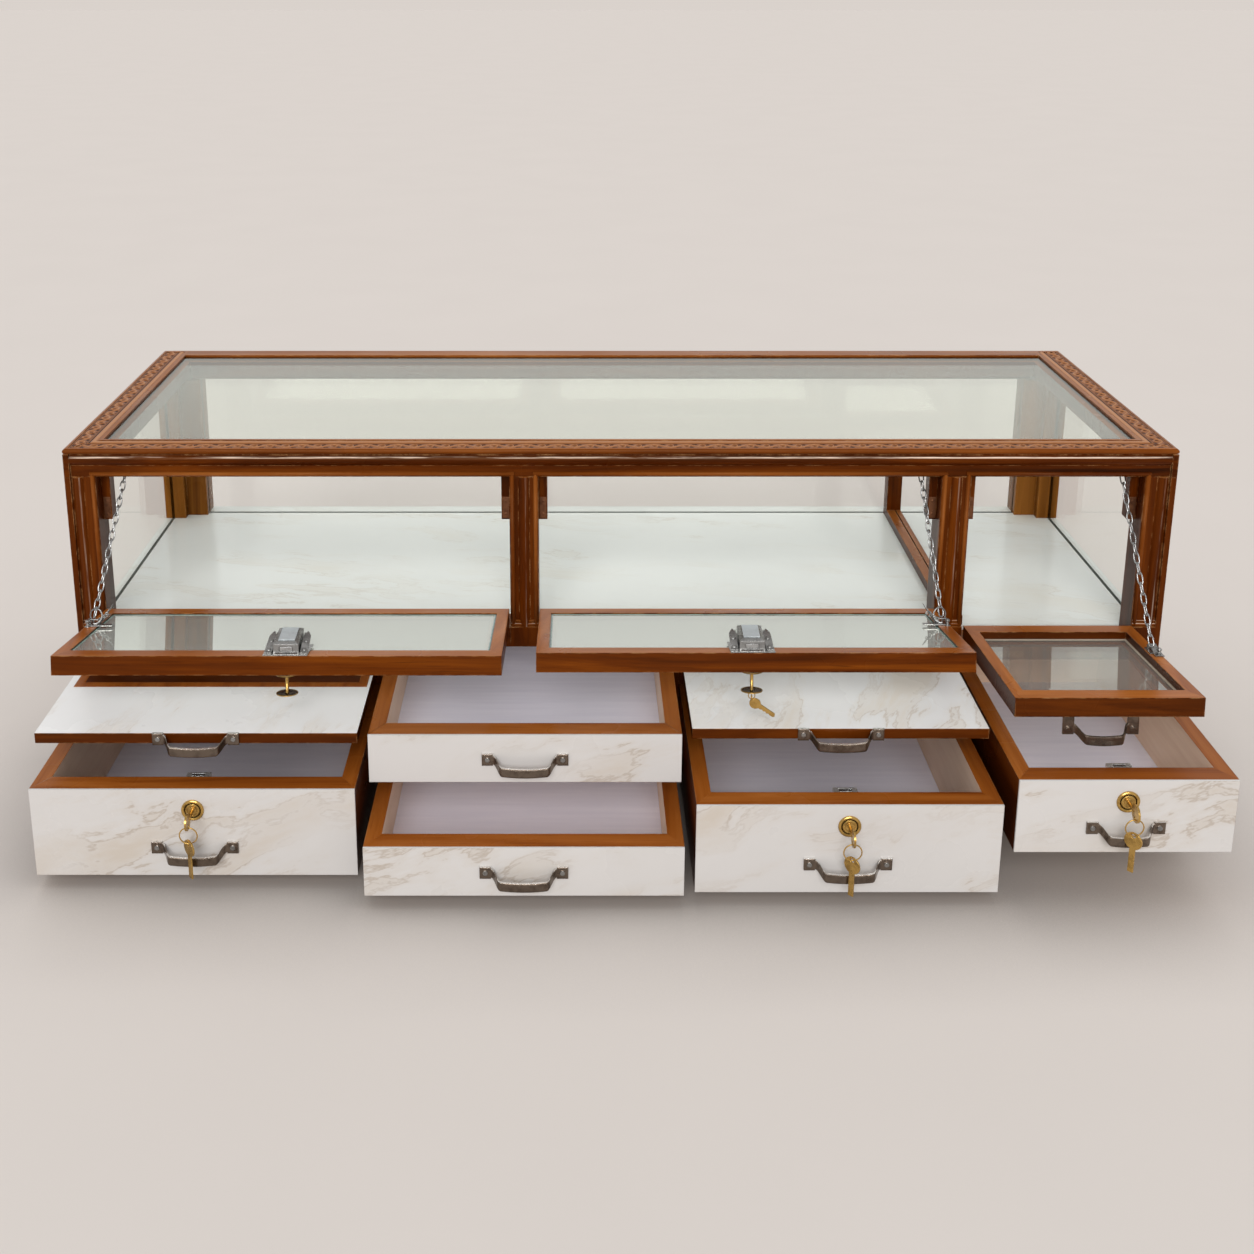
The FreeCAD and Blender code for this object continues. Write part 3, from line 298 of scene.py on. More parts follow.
@once
def board(name, pale, dark, axis):
    """Plain laminate or plywood with a faint grain."""
    g = new_look(name)
    place = g.place()
    grain = g.noise(g.mapped(place, stretched(axis, 60.0, 4.0)), 1.5, 5.0, 0.6)
    stains = g.noise(place, 11.0, 4.0)
    colour = g.mix(g.spread(grain, 0.35, 0.7), pale, dark)
    colour = g.mix(g.spread(stains, 0.55, 0.8, 0.0, 0.5), colour, dark)
    return g.principled(
        {
            "Base Color": colour,
            "Roughness": g.spread(stains, 0.3, 0.7, 0.45, 0.62),
            "Specular IOR Level": 0.3,
            "Normal": g.bump(grain, 0.0001, g.rounded(BOARD_ROUNDING)),
        }
    )


MIRROR = (0.92, 0.94, 0.88, 1.0)
FLAP_MIRROR = (0.82, 0.84, 0.785, 1.0)


@once
def glass(name, tint, gloss):
    """Clear pane: light passes straight through, and a share mirrors more at a slant."""
    g = new_look(name)
    place = g.place()
    smears = g.spread(g.noise(g.mapped(place, (1.0, 1.0, 0.4)), 9.0, 5.0, 0.6), 0.45, 0.75)
    facing = g.node("LayerWeight", {"Blend": 0.5}).outputs["Facing"]
    slant = g.math("POWER", facing, 5.0)
    share = g.math("MULTIPLY_ADD", slant, 0.9 * gloss, 0.035 * gloss)
    through = g.node("BsdfTransparent", {"Color": (*tint, 1.0)}).outputs["BSDF"]
    shine = g.node("BsdfGlossy", {"Color": MIRROR, "Roughness": g.math("MULTIPLY", smears, 0.05)}).outputs["BSDF"]
    return g.done(g.node("MixShader", {0: share, 1: through, 2: shine}).outputs["Shader"])


@once
def veiled_glass(name, tint, veil, pale, most):
    """Pane with a dusty pale film that is also a painted reflection: clear when faced, a pale mirror at a slant."""
    g = new_look(name)
    place = g.place()
    smears = g.spread(g.noise(g.mapped(place, (1.0, 1.0, 0.4)), 5.0, 2.0, 0.5), 0.4, 0.8)
    facing = g.node("LayerWeight", {"Blend": 0.5}).outputs["Facing"]
    share = g.spread(facing, 0.3, 0.72, 0.05, most)
    through = g.node("BsdfTransparent", {"Color": (*tint, 1.0)}).outputs["BSDF"]
    dust_and_painted_reflection = g.node("BsdfDiffuse", {"Color": (*pale, 1.0)}).outputs["BSDF"]
    roughness = g.spread(smears, 0.0, 1.0, 0.003, 0.006)
    shine = g.node("BsdfGlossy", {"Color": FLAP_MIRROR, "Roughness": roughness}).outputs["BSDF"]
    cover = g.spread(smears, 0.0, 1.0, veil, veil + 0.05)
    film = g.node("MixShader", {0: cover, 1: shine, 2: dust_and_painted_reflection}).outputs["Shader"]
    return g.done(g.node("MixShader", {0: share, 1: through, 2: film}).outputs["Shader"])


@once
def glass_edge(dark, pale):
    """The ground edge of a pane, or a fine line along it."""
    g = new_look(f"glass_edge_{len(MADE)}")
    ripple = g.noise(g.mapped(g.place(), (8.0, 8.0, 300.0)), 3.0, 4.0)
    colour = g.ramp(ripple, (0.3, dark), (0.7, pale))
    return g.principled({"Base Color": colour, "Roughness": 0.12, "Normal": g.bump(ripple, 0.0002)})


GREEN_EDGE = glass_edge((0.11, 0.19, 0.155), (0.36, 0.47, 0.42))
DARK_EDGE = glass_edge((0.012, 0.035, 0.022), (0.05, 0.10, 0.07))
# Bright and tarnished colour, roughness where smooth and where dull, and how metallic.
METALS = {
    "nickel": ((0.30, 0.295, 0.285), (0.12, 0.112, 0.105), 0.2, 0.36, 0.92),
    "bronze": ((0.165, 0.128, 0.100), (0.060, 0.042, 0.031), 0.15, 0.3, 0.92),
    "worn": ((0.78, 0.76, 0.73), (0.46, 0.42, 0.38), 0.2, 0.36, 0.8),
    "brass": ((0.56, 0.35, 0.10), (0.17, 0.09, 0.022), 0.18, 0.36, 0.9),
    "dark_brass": ((0.26, 0.165, 0.06), (0.07, 0.038, 0.013), 0.24, 0.44, 0.9),
    "copper": ((0.20, 0.085, 0.040), (0.07, 0.026, 0.012), 0.26, 0.46, 0.8),
    "plate": ((0.60, 0.65, 0.67), (0.44, 0.47, 0.48), 0.12, 0.24, 0.35),
    "steel": ((0.46, 0.46, 0.455), (0.13, 0.125, 0.12), 0.14, 0.3, 0.95),
}


@once
def metal(kind, rounding=0.0007):
    """Metal with tarnished spots, fine scratches and pale edges, rubbed bright and also a painted highlight."""
    g = new_look(f"metal_{kind}_{rounding}")
    place = g.place()
    bright, tarnish, smooth, dull, metallic = METALS[kind]
    spots = g.noise(place, 90.0, 4.0, 0.6)
    scratches = g.noise(g.mapped(place, (90.0, 900.0, 900.0)), 1.0, 3.0)
    rounded, near_edge = g.edges(rounding)
    colour = g.mix(g.spread(spots, 0.46, 0.74, 0.0, 0.85), bright, tarnish)
    # Paler edges: rubbed bright, and a painted highlight as well.
    rubbed_and_highlit = tuple(min(1.0, 1.5 * level) for level in bright)
    colour = g.mix(g.math("MULTIPLY", near_edge, 0.8), colour, rubbed_and_highlit)
    return g.principled(
        {
            "Base Color": colour,
            "Metallic": metallic,
            "Roughness": g.spread(spots, 0.35, 0.7, smooth, dull),
            "Normal": g.bump(scratches, 0.00004, rounded),
        }
    )


def faces(node):
    """Centres and normals of a node's polygons."""
    polygons = NODES[node].data.polygons
    found = []
    for what in ("center", "normal"):
        values = np.empty(len(polygons) * 3, np.float32)
        polygons.foreach_get(what, values)
        found.append(values.reshape(-1, 3))
    return found


def dress(node, looks, choice):
    """Gives each polygon of a CAD node one of the looks."""
    obj = NODES[node]
    obj.data.materials.clear()
    for look in looks:
        obj.data.materials.append(look)
    obj.data.polygons.foreach_set("material_index", np.asarray(choice, np.int32))
    obj.data.update()


def plain(node, look):
    dress(node, [look], np.zeros(len(NODES[node].data.polygons)))


def timber(node, axis, *glint):
    """One grain direction, and a lighter tone on what faces up, painted light from above."""
    normals = faces(node)[1]
    dress(node, [wood(axis, "front", *glint), wood(axis, "top")], normals[:, 2] > 0.8)


PARTITION_STILE = 0.0245
# The front posts' beads carry a painted glint.
timber("front_posts", "z", 0.3, 0.25)
timber("stop_blocks", "z")
plain("back_posts", wood("z", "back"))
timber("front_rails", "x")
timber("runners", "y")
centres, normals = faces("partition_frame")
stile = centres[:, 1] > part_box("partition_frame")[1].y - PARTITION_STILE
# Faces that look up take the lighter top tone, painted light from above.
looks = [wood("y", "front"), wood("y", "top"), wood("z", "front"), wood("z", "top")]
dress("partition_frame", looks, 2 * stile + (normals[:, 2] > 0.8))

RAIL_WIDTH = 0.044
BACK_RAIL = 0.028
NOSE = 0.008
BEAD = 0.009
centres, normals = faces("top_rails")
low, high = (np.array(corner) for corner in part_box("top_rails"))
beside = np.minimum(centres[:, 0] - low[0], high[0] - centres[:, 0])
across = (centres[:, 1] - low[1] < beside) | ((high[1] - centres[:, 1] < BACK_RAIL) & (beside > RAIL_WIDTH))
outward = (normals[:, 1] < -0.1) & across | (np.abs(normals[:, 0]) > 0.1) & ~across
nose = outward & (centres[:, 2] > high[2] - NOSE)
bead = outward & ~nose & (centres[:, 2] > high[2] - NOSE - 2 * BEAD)
# Faces that look up take the lighter top tone, painted light from above; the bead below the nose takes a painted glint.
tone = np.where(normals[:, 2] > 0.9, 2, np.where(nose, 1, np.where(bead, 3, 0)))
looks = []
for axis in "yx":
    looks += [wood(axis, "front"), wood(axis, "nose"), wood(axis, "top"), wood(axis, "front", 0.5, 0.95)]
dress("top_rails", looks, 4 * across + tone)

SKIN = 0.0005
BEIGE = ((0.92, 0.70, 0.53), (0.84, 0.61, 0.45))
LILAC = ((0.90, 0.87, 0.96), (0.83, 0.80, 0.90))
centres = faces("case_panels")[0]
low, high = (np.array(corner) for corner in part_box("case_panels"))
ends = np.maximum(low[1] - centres[:, 1], centres[:, 1] - high[1]) > -SKIN
choice = np.where(ends, 2, np.abs(centres[:, 0]) > high[0] - SKIN)
dress("case_panels", [board("carcass_ply", *BEIGE, "z"), wood("z", "front"), wood("x", "front")], choice)


def pane(node, look, thin):
    """Clear faces with green ground edges; thin is the axis across each polygon's pane."""
    edge = np.abs(np.take_along_axis(faces(node)[1], thin[:, None], axis=1)[:, 0]) < 0.7
    dress(node, [look, GREEN_EDGE], edge)


SIDE_PANES = 0.74
FLAP_TINT = (0.95, 0.96, 0.945)
# Colour of the dusty film on the flap panes, which also stands in as a painted reflection.
PALE_DUST_AND_PAINTED_REFLECTION = (0.76, 0.77, 0.72)
for name, look in (
    ("top_glass", glass("top_glass", (0.965, 0.98, 0.955), 1.5)),
    ("flap_left_glass", veiled_glass("flap_left_glass", FLAP_TINT, 0.3, PALE_DUST_AND_PAINTED_REFLECTION, 0.8)),
    ("flap_middle_glass", veiled_glass("flap_middle_glass", FLAP_TINT, 0.3, PALE_DUST_AND_PAINTED_REFLECTION, 0.8)),
    ("flap_right_glass", veiled_glass("flap_right_glass", (0.90, 0.89, 0.86), 0.4, (0.56, 0.52, 0.48), 0.56)),
):
    pane(name, look, np.full(len(NODES[name].data.polygons), 2))
centres = faces("case_glass")[0]
case_look = glass("case_glass", (0.992, 0.995, 0.99), 0.8)
pane("case_glass", case_look, np.where(np.abs(centres[:, 0]) > SIDE_PANES, 0, 1))

WHITE_EDGE = board("laminate_edge", (0.72, 0.71, 0.69), (0.64, 0.63, 0.61), "x")
plain("deck_board", marble((0.82, 0.84, 0.805), 0.45, (0, 0, 0.15), (0.3, 0.1, 0), 0.1))
for order, name in enumerate(SLIDES):
    top = marble((0.945, 0.94, 0.93), 0.9, (0, 0, -1.2), (0.37 * order, 0.21, 0), 0.22)
    normals = faces(name + "_board")[1]
    choice = np.where(normals[:, 2] > 0.8, 0, np.where(np.abs(normals[:, 1]) > 0.8, 1, 2))
    dress(name + "_board", [top, wood("x", "deep"), wood("y", "deep")], choice)

FRONT_WALL = 0.027
SIDE_WALL = 0.020
FLOOR_TOP = 0.009
RIM_DEPTH = 0.001
for order, name in enumerate(DRAWERS):
    front = marble((0.575, 0.55, 0.53), 1.0, (0, 0.28, 0), (0.43 * order, 0.17, 0.31 * order), 0.24)
    normals = faces(name + "_front")[1]
    dress(name + "_front", [front, WHITE_EDGE], normals[:, 1] > -0.8)
    centres, normals = faces(name + "_box")
    low, high = (np.array(corner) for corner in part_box(name + "_box"))
    beside = np.minimum(centres[:, 0] - low[0], high[0] - centres[:, 0])
    ends = np.minimum((centres[:, 1] - low[1]) / FRONT_WALL, (high[1] - centres[:, 1]) / SIDE_WALL)
    upper = normals[:, 2] > 0.8
    rim = upper & (centres[:, 2] > high[2] - RIM_DEPTH)
    floor = upper & (centres[:, 2] < low[2] + FLOOR_TOP)
    outer = (beside < SKIN) & (np.abs(normals[:, 0]) > 0.8)
    inner = np.where(floor, 2, np.where(outer, 4, 3))
    choice = np.where(rim, (ends < beside / SIDE_WALL).astype(int), inner)
    looks = [wood("y", "rim"), wood("x", "rim")]
    looks += [board("drawer_floor", *LILAC, "x"), board("drawer_wall", *BEIGE, "y"), wood("y", "deep")]
    dress(name + "_box", looks, choice)

HOLE_INSET = 0.007
PLATE_HALF = 0.008
SCREW_RADIUS = 0.0032
STRAP_OUT = 0.0031
BARREL_SHOWS = 0.004
for name in DRAWERS + SLIDES:
    centres, normals = faces(name + "_pull")
    low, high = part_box(name + "_pull")
    hole = np.minimum(centres[:, 0] - low.x, high.x - centres[:, 0]) - HOLE_INSET
    screw = np.hypot(hole, centres[:, 2] - high.z + PLATE_HALF) < SCREW_RADIUS
    screw &= centres[:, 1] < high.y - STRAP_OUT
    # Faces that look up take the pale metal: rubbed pale, and a painted highlight along the tops of the pulls.
    looks = [metal("bronze", 0.003), metal("worn"), metal("nickel")]
    dress(name + "_pull", looks, np.where(screw, 2, normals[:, 2] > 0.75))
for name in LOCKED:
    centres = faces(name + "_lock")[0]
    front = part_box(name + "_front")[0].y
    dress(name + "_lock", [metal("worn"), metal("brass")], centres[:, 1] < front + BARREL_SHOWS)
    plain(name + "_key", metal("brass"))
    plain(name + "_bolt", metal("steel"))
    plain(name + "_spare_key", metal("brass"))
for name in LOCKED_FLAPS:
    plain(name + "_key", metal("dark_brass"))
    plain(name + "_bolt", metal("steel"))
plain("flap_middle_spare_key", metal("brass"))
plain("flap_hinges", metal("dark_brass"))


def flap_frame(name):
    """A flap's hinge and its slope in the rest pose."""
    joint = JOINTS[name + "_hinge"]
    return np.asarray(joint["pos_m"]), math.radians(90 - joint["range_deg"][1])


def flap_local(name, points):
    """Points in the flap's own frame: y along it towards the hinge, z out of its upper face."""
    hinge, tilt = flap_frame(name)
    offset = np.asarray(points) - hinge
    y = offset[:, 1] * math.cos(tilt) - offset[:, 2] * math.sin(tilt)
    z = offset[:, 1] * math.sin(tilt) + offset[:, 2] * math.cos(tilt)
    return np.stack([offset[:, 0], y, z], axis=1)


def flap_world(name, points):
    """The way back from the flap's own frame."""
    hinge, tilt = flap_frame(name)
    local = np.asarray(points, float)
    y = local[:, 1] * math.cos(tilt) + local[:, 2] * math.sin(tilt)
    z = -local[:, 1] * math.sin(tilt) + local[:, 2] * math.cos(tilt)
    return np.stack([local[:, 0], y, z], axis=1) + hinge


def lock_place(name):
    """In the flap's own frame: x of its lock's middle, and y of its free edge."""
    low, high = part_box(name + "_bolt")
    middle = (low.x + high.x) / 2 - JOINTS[name + "_hinge"]["pos_m"][0]
    return middle, flap_local(name, faces(name + "_frame")[0])[:, 1].min()


STILE = 0.016
FLAP_RAIL = 0.024
HINGE_LEAF = 0.03
UNDER_FACE = 0.0034
for name in FLAPS:
    centres, normals = faces(name + "_frame")
    low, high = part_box(name + "_frame")
    along = flap_local(name, centres)[:, 1]
    beside = np.minimum(centres[:, 0] - low.x, high.x - centres[:, 0])
    ends = np.minimum(along - along.min(), along.max() - along)
    rail = ends / FLAP_RAIL < beside / STILE
    side = "deep" if name == "flap_right" else "edge"
    # Faces that look up take the lighter flap tone, painted light from above.
    looks = [wood("y", side), wood("y", "flap"), wood("x", side), wood("x", "flap")]
    dress(name + "_frame", looks, 2 * rail + (normals[:, 2] > 0.8))
    local = flap_local(name, faces(name + "_fittings")[0])
    below = local[:, 2] < UNDER_FACE
    at_hinge = local[:, 1] > -HINGE_LEAF
    choice = np.where(at_hinge, 1, np.where(below, 2 if name == "flap_right" else 1, 0))
    dress(name + "_fittings", [metal("nickel"), metal("dark_brass"), metal("bronze", 0.003)], choice)


def add_mesh(name, points, polygons, look, body, slot, smooth=False):
    """A new piece that moves with a body."""
    mesh = bpy.data.meshes.new(name)
    mesh.from_pydata([tuple(map(float, point)) for point in points], [], [tuple(map(int, p)) for p in polygons])
    mesh.update()
    mesh.materials.append(look)
    if smooth:
        mesh.polygons.foreach_set("use_smooth", np.ones(len(mesh.polygons), bool))
    obj = bpy.data.objects.new(name, mesh)
    bpy.context.scene.collection.objects.link(obj)
    if body:
        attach(obj, body)
    return obj


BAND_BORDER = 0.006
BAND_WIDTH = 0.032
BAND_FLOOR = 0.0021
SCROLL_WIDTH = 0.0205
SCROLL_PITCH = 0.044
CARVING_STEP = 0.0009
VINE_SWING = 0.0060
# Along, across and radius of the pits beside each curl.
PITS = ((-0.0092, -0.0058, 0.0021), (0.0094, 0.0062, 0.0019), (0.0003, -0.0079, 0.0013))
# Place across, half width and height of the lines beside the scroll.
LINES = ((0.0006, 0.0007, 0.9), (0.0017, 0.0005, 0.2), (0.0189, 0.0005, 0.2), (0.0201, 0.0009, 0.9))
BEAD_FROM = 0.0210
BEAD_MIDDLE = 0.0270
BEAD_HALF = 0.0051


def curve(x, y, z):
    """Points from three coordinates, each a list or one value for all."""
    return np.stack(np.broadcast_arrays(x, y, z), axis=1)


def walls(rings, sides, closed=False):
    """Polygons between each ring of points and the next."""
    polygons = []
    for i in range(rings if closed else rings - 1):
        j = (i + 1) % rings
        for k in range(sides):
            m = (k + 1) % sides
            polygons.append((i * sides + k, i * sides + m, j * sides + m, j * sides + k))
    return polygons


def nearest(s, t, path_s, path_t):
    """Distance from each point of the band to a path that repeats along it."""
    gap = np.full(s.shape, np.inf)
    for wrap in (-SCROLL_PITCH, 0.0, SCROLL_PITCH):
        for point_s, point_t in zip(path_s + wrap, path_t):
            gap = np.minimum(gap, (s - point_s) ** 2 + (t - point_t) ** 2)
    return np.sqrt(gap)


def scroll_height(s, t):
    """Relief from 0 to 1 at a point of the band: a vine scroll with pits drilled beside it, then a bead."""
    middle = SCROLL_WIDTH / 2
    turn = np.linspace(0, 1, 100)
    vine_s, vine_t = turn * SCROLL_PITCH, middle + VINE_SWING * np.sin(2 * math.pi * turn)
    height = np.full(s.shape, 0.58)
    ridges = [(vine_s, vine_t, 0.0015)]
    for share, side in ((0.25, 1), (0.75, -1)):
        centre_s, centre_t = share * SCROLL_PITCH, middle - 0.0004 * side
        tail_s, tail_t = centre_s + 0.0075 * turn, centre_t - side * 0.0052 * turn**1.5
        height *= 1 - np.clip(1.25 - nearest(s, t, tail_s, tail_t) / 0.00235, 0, 1)
        angle = side * (math.pi * 0.6 - turn * 1.7 * math.pi)
        ridges.append((centre_s - 0.0006 + 0.0046 * np.cos(angle), centre_t + 0.0042 * np.sin(angle), 0.0011))
        for offset_s, offset_t, radius in PITS:
            away_s = np.mod(s - centre_s - offset_s + SCROLL_PITCH / 2, SCROLL_PITCH) - SCROLL_PITCH / 2
            spot = np.hypot(away_s, t - centre_t - side * offset_t)
            height *= 1 - np.clip(1.3 - spot / radius, 0, 1)
    for path_s, path_t, width in ridges:
        round_top = np.sqrt(np.clip(1 - (nearest(s, t, path_s, path_t) / width) ** 2, 0, 1))
        height = np.maximum(height, round_top)
    for edge, width, level in LINES:
        height = np.where(np.abs(t - edge) < width, level, height)
    bead = np.sqrt(np.clip(1 - ((t - BEAD_MIDDLE) / BEAD_HALF) ** 2, 0, 1))
    return np.where(t > BEAD_FROM, 0.1 + 0.85 * bead, height)


def carved_band(name, length, mitred_start, mitred_end, to_world):
    """A strip of relief in a rail's sunk band, cut to the mitres at its ends."""
    rows = int(BAND_WIDTH / CARVING_STEP) + 1
    columns = int(length / CARVING_STEP) + 1
    across = np.linspace(0, BAND_WIDTH, rows)
    along = np.linspace(0, length, columns)
    period = np.linspace(0, SCROLL_PITCH, 90, endpoint=False)
    sample_s, sample_t = np.meshgrid(period, across, indexing="ij")
    tile = scroll_height(sample_s, sample_t)
    position = np.mod(along, SCROLL_PITCH) / SCROLL_PITCH * len(period)
    low = position.astype(int) % len(period)
    share = (position - position.astype(int))[:, None]
    height = tile[low] * (1 - share) + tile[(low + 1) % len(period)] * share
    grid_s, grid_t = np.meshgrid(along, across, indexing="ij")
    level = -BAND_FLOOR + BAND_FLOOR * height * 0.96
    level[:, [0, -1]] = -BAND_FLOOR
    keep_from = grid_t if mitred_start else np.zeros_like(grid_t)
    keep_to = length - grid_t if mitred_end else np.full_like(grid_t, length)
    grid_s = np.clip(grid_s, keep_from, keep_to)
    points = to_world(grid_s.ravel(), grid_t.ravel(), level.ravel())
    number = np.arange(rows * columns).reshape(columns, rows)
    quads = np.stack([number[:-1, :-1], number[1:, :-1], number[1:, 1:], number[:-1, 1:]], axis=-1).reshape(-1, 4)
    kept = quads[np.ptp(grid_s.ravel()[quads], axis=1) > 1e-6]
    return add_mesh(name, points, kept, carved_wood(), "cabinet", "teak", smooth=True)


rails_low, rails_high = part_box("top_rails")
front_length = rails_high.x - rails_low.x - 2 * BAND_BORDER
side_length = rails_high.y - rails_low.y - 2 * BAND_BORDER
top_level = rails_high.z


def front_band(s, t, z):
    return curve(rails_low.x + BAND_BORDER + s, rails_low.y + BAND_BORDER + t, top_level + z)


def left_band(s, t, z):
    return curve(rails_low.x + BAND_BORDER + t, rails_high.y - BAND_BORDER - s, top_level + z)


def right_band(s, t, z):
    return curve(rails_high.x - BAND_BORDER - t, rails_low.y + BAND_BORDER + s, top_level + z)


carved_band("carving_front", front_length, True, True, front_band)
carved_band("carving_left", side_length, False, True, left_band)
carved_band("carving_right", side_length, True, False, right_band)


def tube(path, radius, sides=8, closed=False):
    """Points and polygons of a round wire along a path."""
    path = np.asarray(path, float)
    count = len(path)
    ahead = np.roll(path, -1, axis=0) - np.roll(path, 1, axis=0)
    if not closed:
        ahead[0] = path[1] - path[0]
        ahead[-1] = path[-1] - path[-2]
    ahead /= np.linalg.norm(ahead, axis=1)[:, None]
    side = np.zeros_like(path)
    reference = np.array([0.0, 0.0, 1.0]) if abs(ahead[0][2]) < 0.9 else np.array([1.0, 0.0, 0.0])
    for i in range(count):
        reference = reference - ahead[i] * reference.dot(ahead[i])
        reference /= np.linalg.norm(reference)
        side[i] = reference
    other = np.cross(ahead, side)
    angles = np.linspace(0, 2 * math.pi, sides, endpoint=False)
    ring = side[:, None, :] * np.cos(angles)[None, :, None] + other[:, None, :] * np.sin(angles)[None, :, None]
    points = (path[:, None, :] + radius * ring).reshape(-1, 3)
    polygons = walls(count, sides, closed)
    if not closed:
        polygons.append(tuple(range(sides))[::-1])
        polygons.append(tuple((count - 1) * sides + k for k in range(sides)))
    return points, polygons


def joined(parts):
    """Several point and polygon lists as one."""
    points, polygons = [], []
    for part_points, part_polygons in parts:
        start = sum(len(p) for p in points)
        points.append(np.asarray(part_points))
        polygons += [tuple(i + start for i in polygon) for polygon in part_polygons]
    return np.concatenate(points), polygons


def link(centre, along, flat, length, width, wire):
    """One oval chain link with pinched sides."""
    angles = np.linspace(0, 2 * math.pi, 28, endpoint=False)
    reach = (length / 2 - wire / 2) * np.sign(np.cos(angles)) * np.abs(np.cos(angles)) ** 0.8
    spread = (width / 2 - wire / 2) * np.sign(np.sin(angles)) * np.abs(np.sin(angles)) ** 0.8
    path = centre + reach[:, None] * along + spread[:, None] * flat
    return tube(path, wire / 2, 8, closed=True)


CHAINS = {"chain_left": "flap_left", "chain_middle": "flap_middle", "chain_right": "flap_right"}
CHAIN_LINKS = 17
CHAIN_WIRE = 0.0019
CHAIN_WIDTH = 0.0086


def chain_path(name):
    """The straight line on which a CAD chain's links lie: from its highest to its lowest point."""
    mesh = NODES[name].data
    points = np.empty(len(mesh.vertices) * 3, np.float32)
    mesh.vertices.foreach_get("co", points)
    points = points.reshape(-1, 3).astype(float)
    top = points[points[:, 2] > points[:, 2].max() - 0.012].mean(axis=0)
    tail = points[points[:, 2] < points[:, 2].min() + 0.012].mean(axis=0)
    return top, tail


for name, flap in CHAINS.items():
    top, tail = chain_path(name)
    direction = tail - top
    span = np.linalg.norm(direction)
    direction /= span
    sideways = np.cross(direction, (0.0, 0.0, 1.0))
    sideways /= np.linalg.norm(sideways)
    upward = np.cross(sideways, direction)
    pitch = span / CHAIN_LINKS
    parts = []
    for i in range(CHAIN_LINKS):
        twist = math.radians(45 if i % 2 else -45)
        flat = math.cos(twist) * sideways + math.sin(twist) * upward
        centre = top + (i + 0.5) * pitch * direction
        parts.append(link(centre, direction, flat, pitch + 2.6 * CHAIN_WIRE, CHAIN_WIDTH, CHAIN_WIRE))
    points, polygons = joined(parts)
    piece = add_mesh(name + "_links", points, polygons, metal("steel"), None, "nickel", smooth=True)
    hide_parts(name)
    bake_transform(piece)


def ribbon(path, across, width, thick):
    """Points and polygons of a strip bent along a path, wide in one direction; widths may taper."""
    path = np.asarray(path, float)
    across = np.asarray(across, float) / np.linalg.norm(across)
    ahead = np.gradient(path, axis=0)
    ahead /= np.linalg.norm(ahead, axis=1)[:, None]
    out = np.cross(ahead, across)
    half = (np.zeros(len(path)) + width)[:, None] / 2
    corners = ((-1, -1), (1, -1), (1, 1), (-1, 1))
    rows = [path + side * across * half + face * out * thick / 2 for side, face in corners]
    points = np.stack(rows, axis=1).reshape(-1, 3)
    caps = [(3, 2, 1, 0), tuple(4 * (len(path) - 1) + k for k in range(4))]
    return points, caps + walls(len(path), 4)


def turned(profile, centre, axis, sides=14):
    """Points and polygons of a small turned piece: (radius, height) pairs about an axis."""
    axis = np.asarray(axis, float) / np.linalg.norm(axis)
    first = np.cross(axis, (1.0, 0.0, 0.0) if abs(axis[0]) < 0.8 else (0.0, 1.0, 0.0))
    first /= np.linalg.norm(first)
    second = np.cross(axis, first)
    angles = np.linspace(0, 2 * math.pi, sides, endpoint=False)
    ring = np.cos(angles)[:, None] * first + np.sin(angles)[:, None] * second
    points = np.concatenate([np.asarray(centre) + radius * ring + level * axis for radius, level in profile])
    caps = [tuple(range(sides))[::-1], tuple((len(profile) - 1) * sides + k for k in range(sides))]
    return points, caps + walls(len(profile), sides)


def on_flap(name, parts):
    """Pieces drawn in a flap's own frame, put where the flap stands."""
    points, polygons = joined(parts)
    return flap_world(name, points), polygons


DOME = ((0.0030, 0.0), (0.0029, 0.0006), (0.0023, 0.0013), (0.0011, 0.0017), (0.0003, 0.0018))
KNOB = ((0.0042, 0.0), (0.0040, 0.0008), (0.0022, 0.0014), (0.0020, 0.0050), (0.0032, 0.0058), (0.0034, 0.0075),
        (0.0024, 0.0092), (0.0006, 0.0097))
FLAP_FACE = 0.0285
EAR_STEPS = 12
EAR_OUT = 0.0225
EAR_LENGTH = 0.044
EAR_RISE = 0.0150
EAR_WIDTH = 0.0095
EAR_THICK = 0.0016
CHEEK_OUT = 0.0180
CHEEK_LENGTH = 0.040
for name in LOCKED_FLAPS:
    middle, free = lock_place(name)
    parts = []
    rise = np.linspace(0, 1, EAR_STEPS)
    taper = np.where(rise < 0.8, EAR_WIDTH, EAR_WIDTH * (1.02 - rise) / 0.22)
    climb = EAR_RISE * np.clip((rise - 0.12) / 0.88, 0, 1) ** 0.9
    for side in (-1, 1):
        x = middle + side * (EAR_OUT - 0.0010 * rise)
        path = curve(x, free + 0.003 + EAR_LENGTH * rise, FLAP_FACE + 0.0026 + climb)
        parts.append(ribbon(path, (1, 0, 0), taper, EAR_THICK))
        x = middle + side * CHEEK_OUT
        wall = curve(x, free + 0.004 + CHEEK_LENGTH * rise, FLAP_FACE + 0.0010 + 0.0085 * rise)
        parts.append(ribbon(wall, (0, 0, 1), 0.002 + 0.014 * rise, 0.0012))
        for share in (0.25, 0.62):
            place = path[int(share * (EAR_STEPS - 1))] + np.array([0, 0, EAR_THICK / 2])
            parts.append(turned(DOME, place, (0, -0.3, 1)))
    points, polygons = on_flap(name, parts)
    add_mesh(name + "_lock_ears", points, polygons, metal("nickel"), name, "nickel")

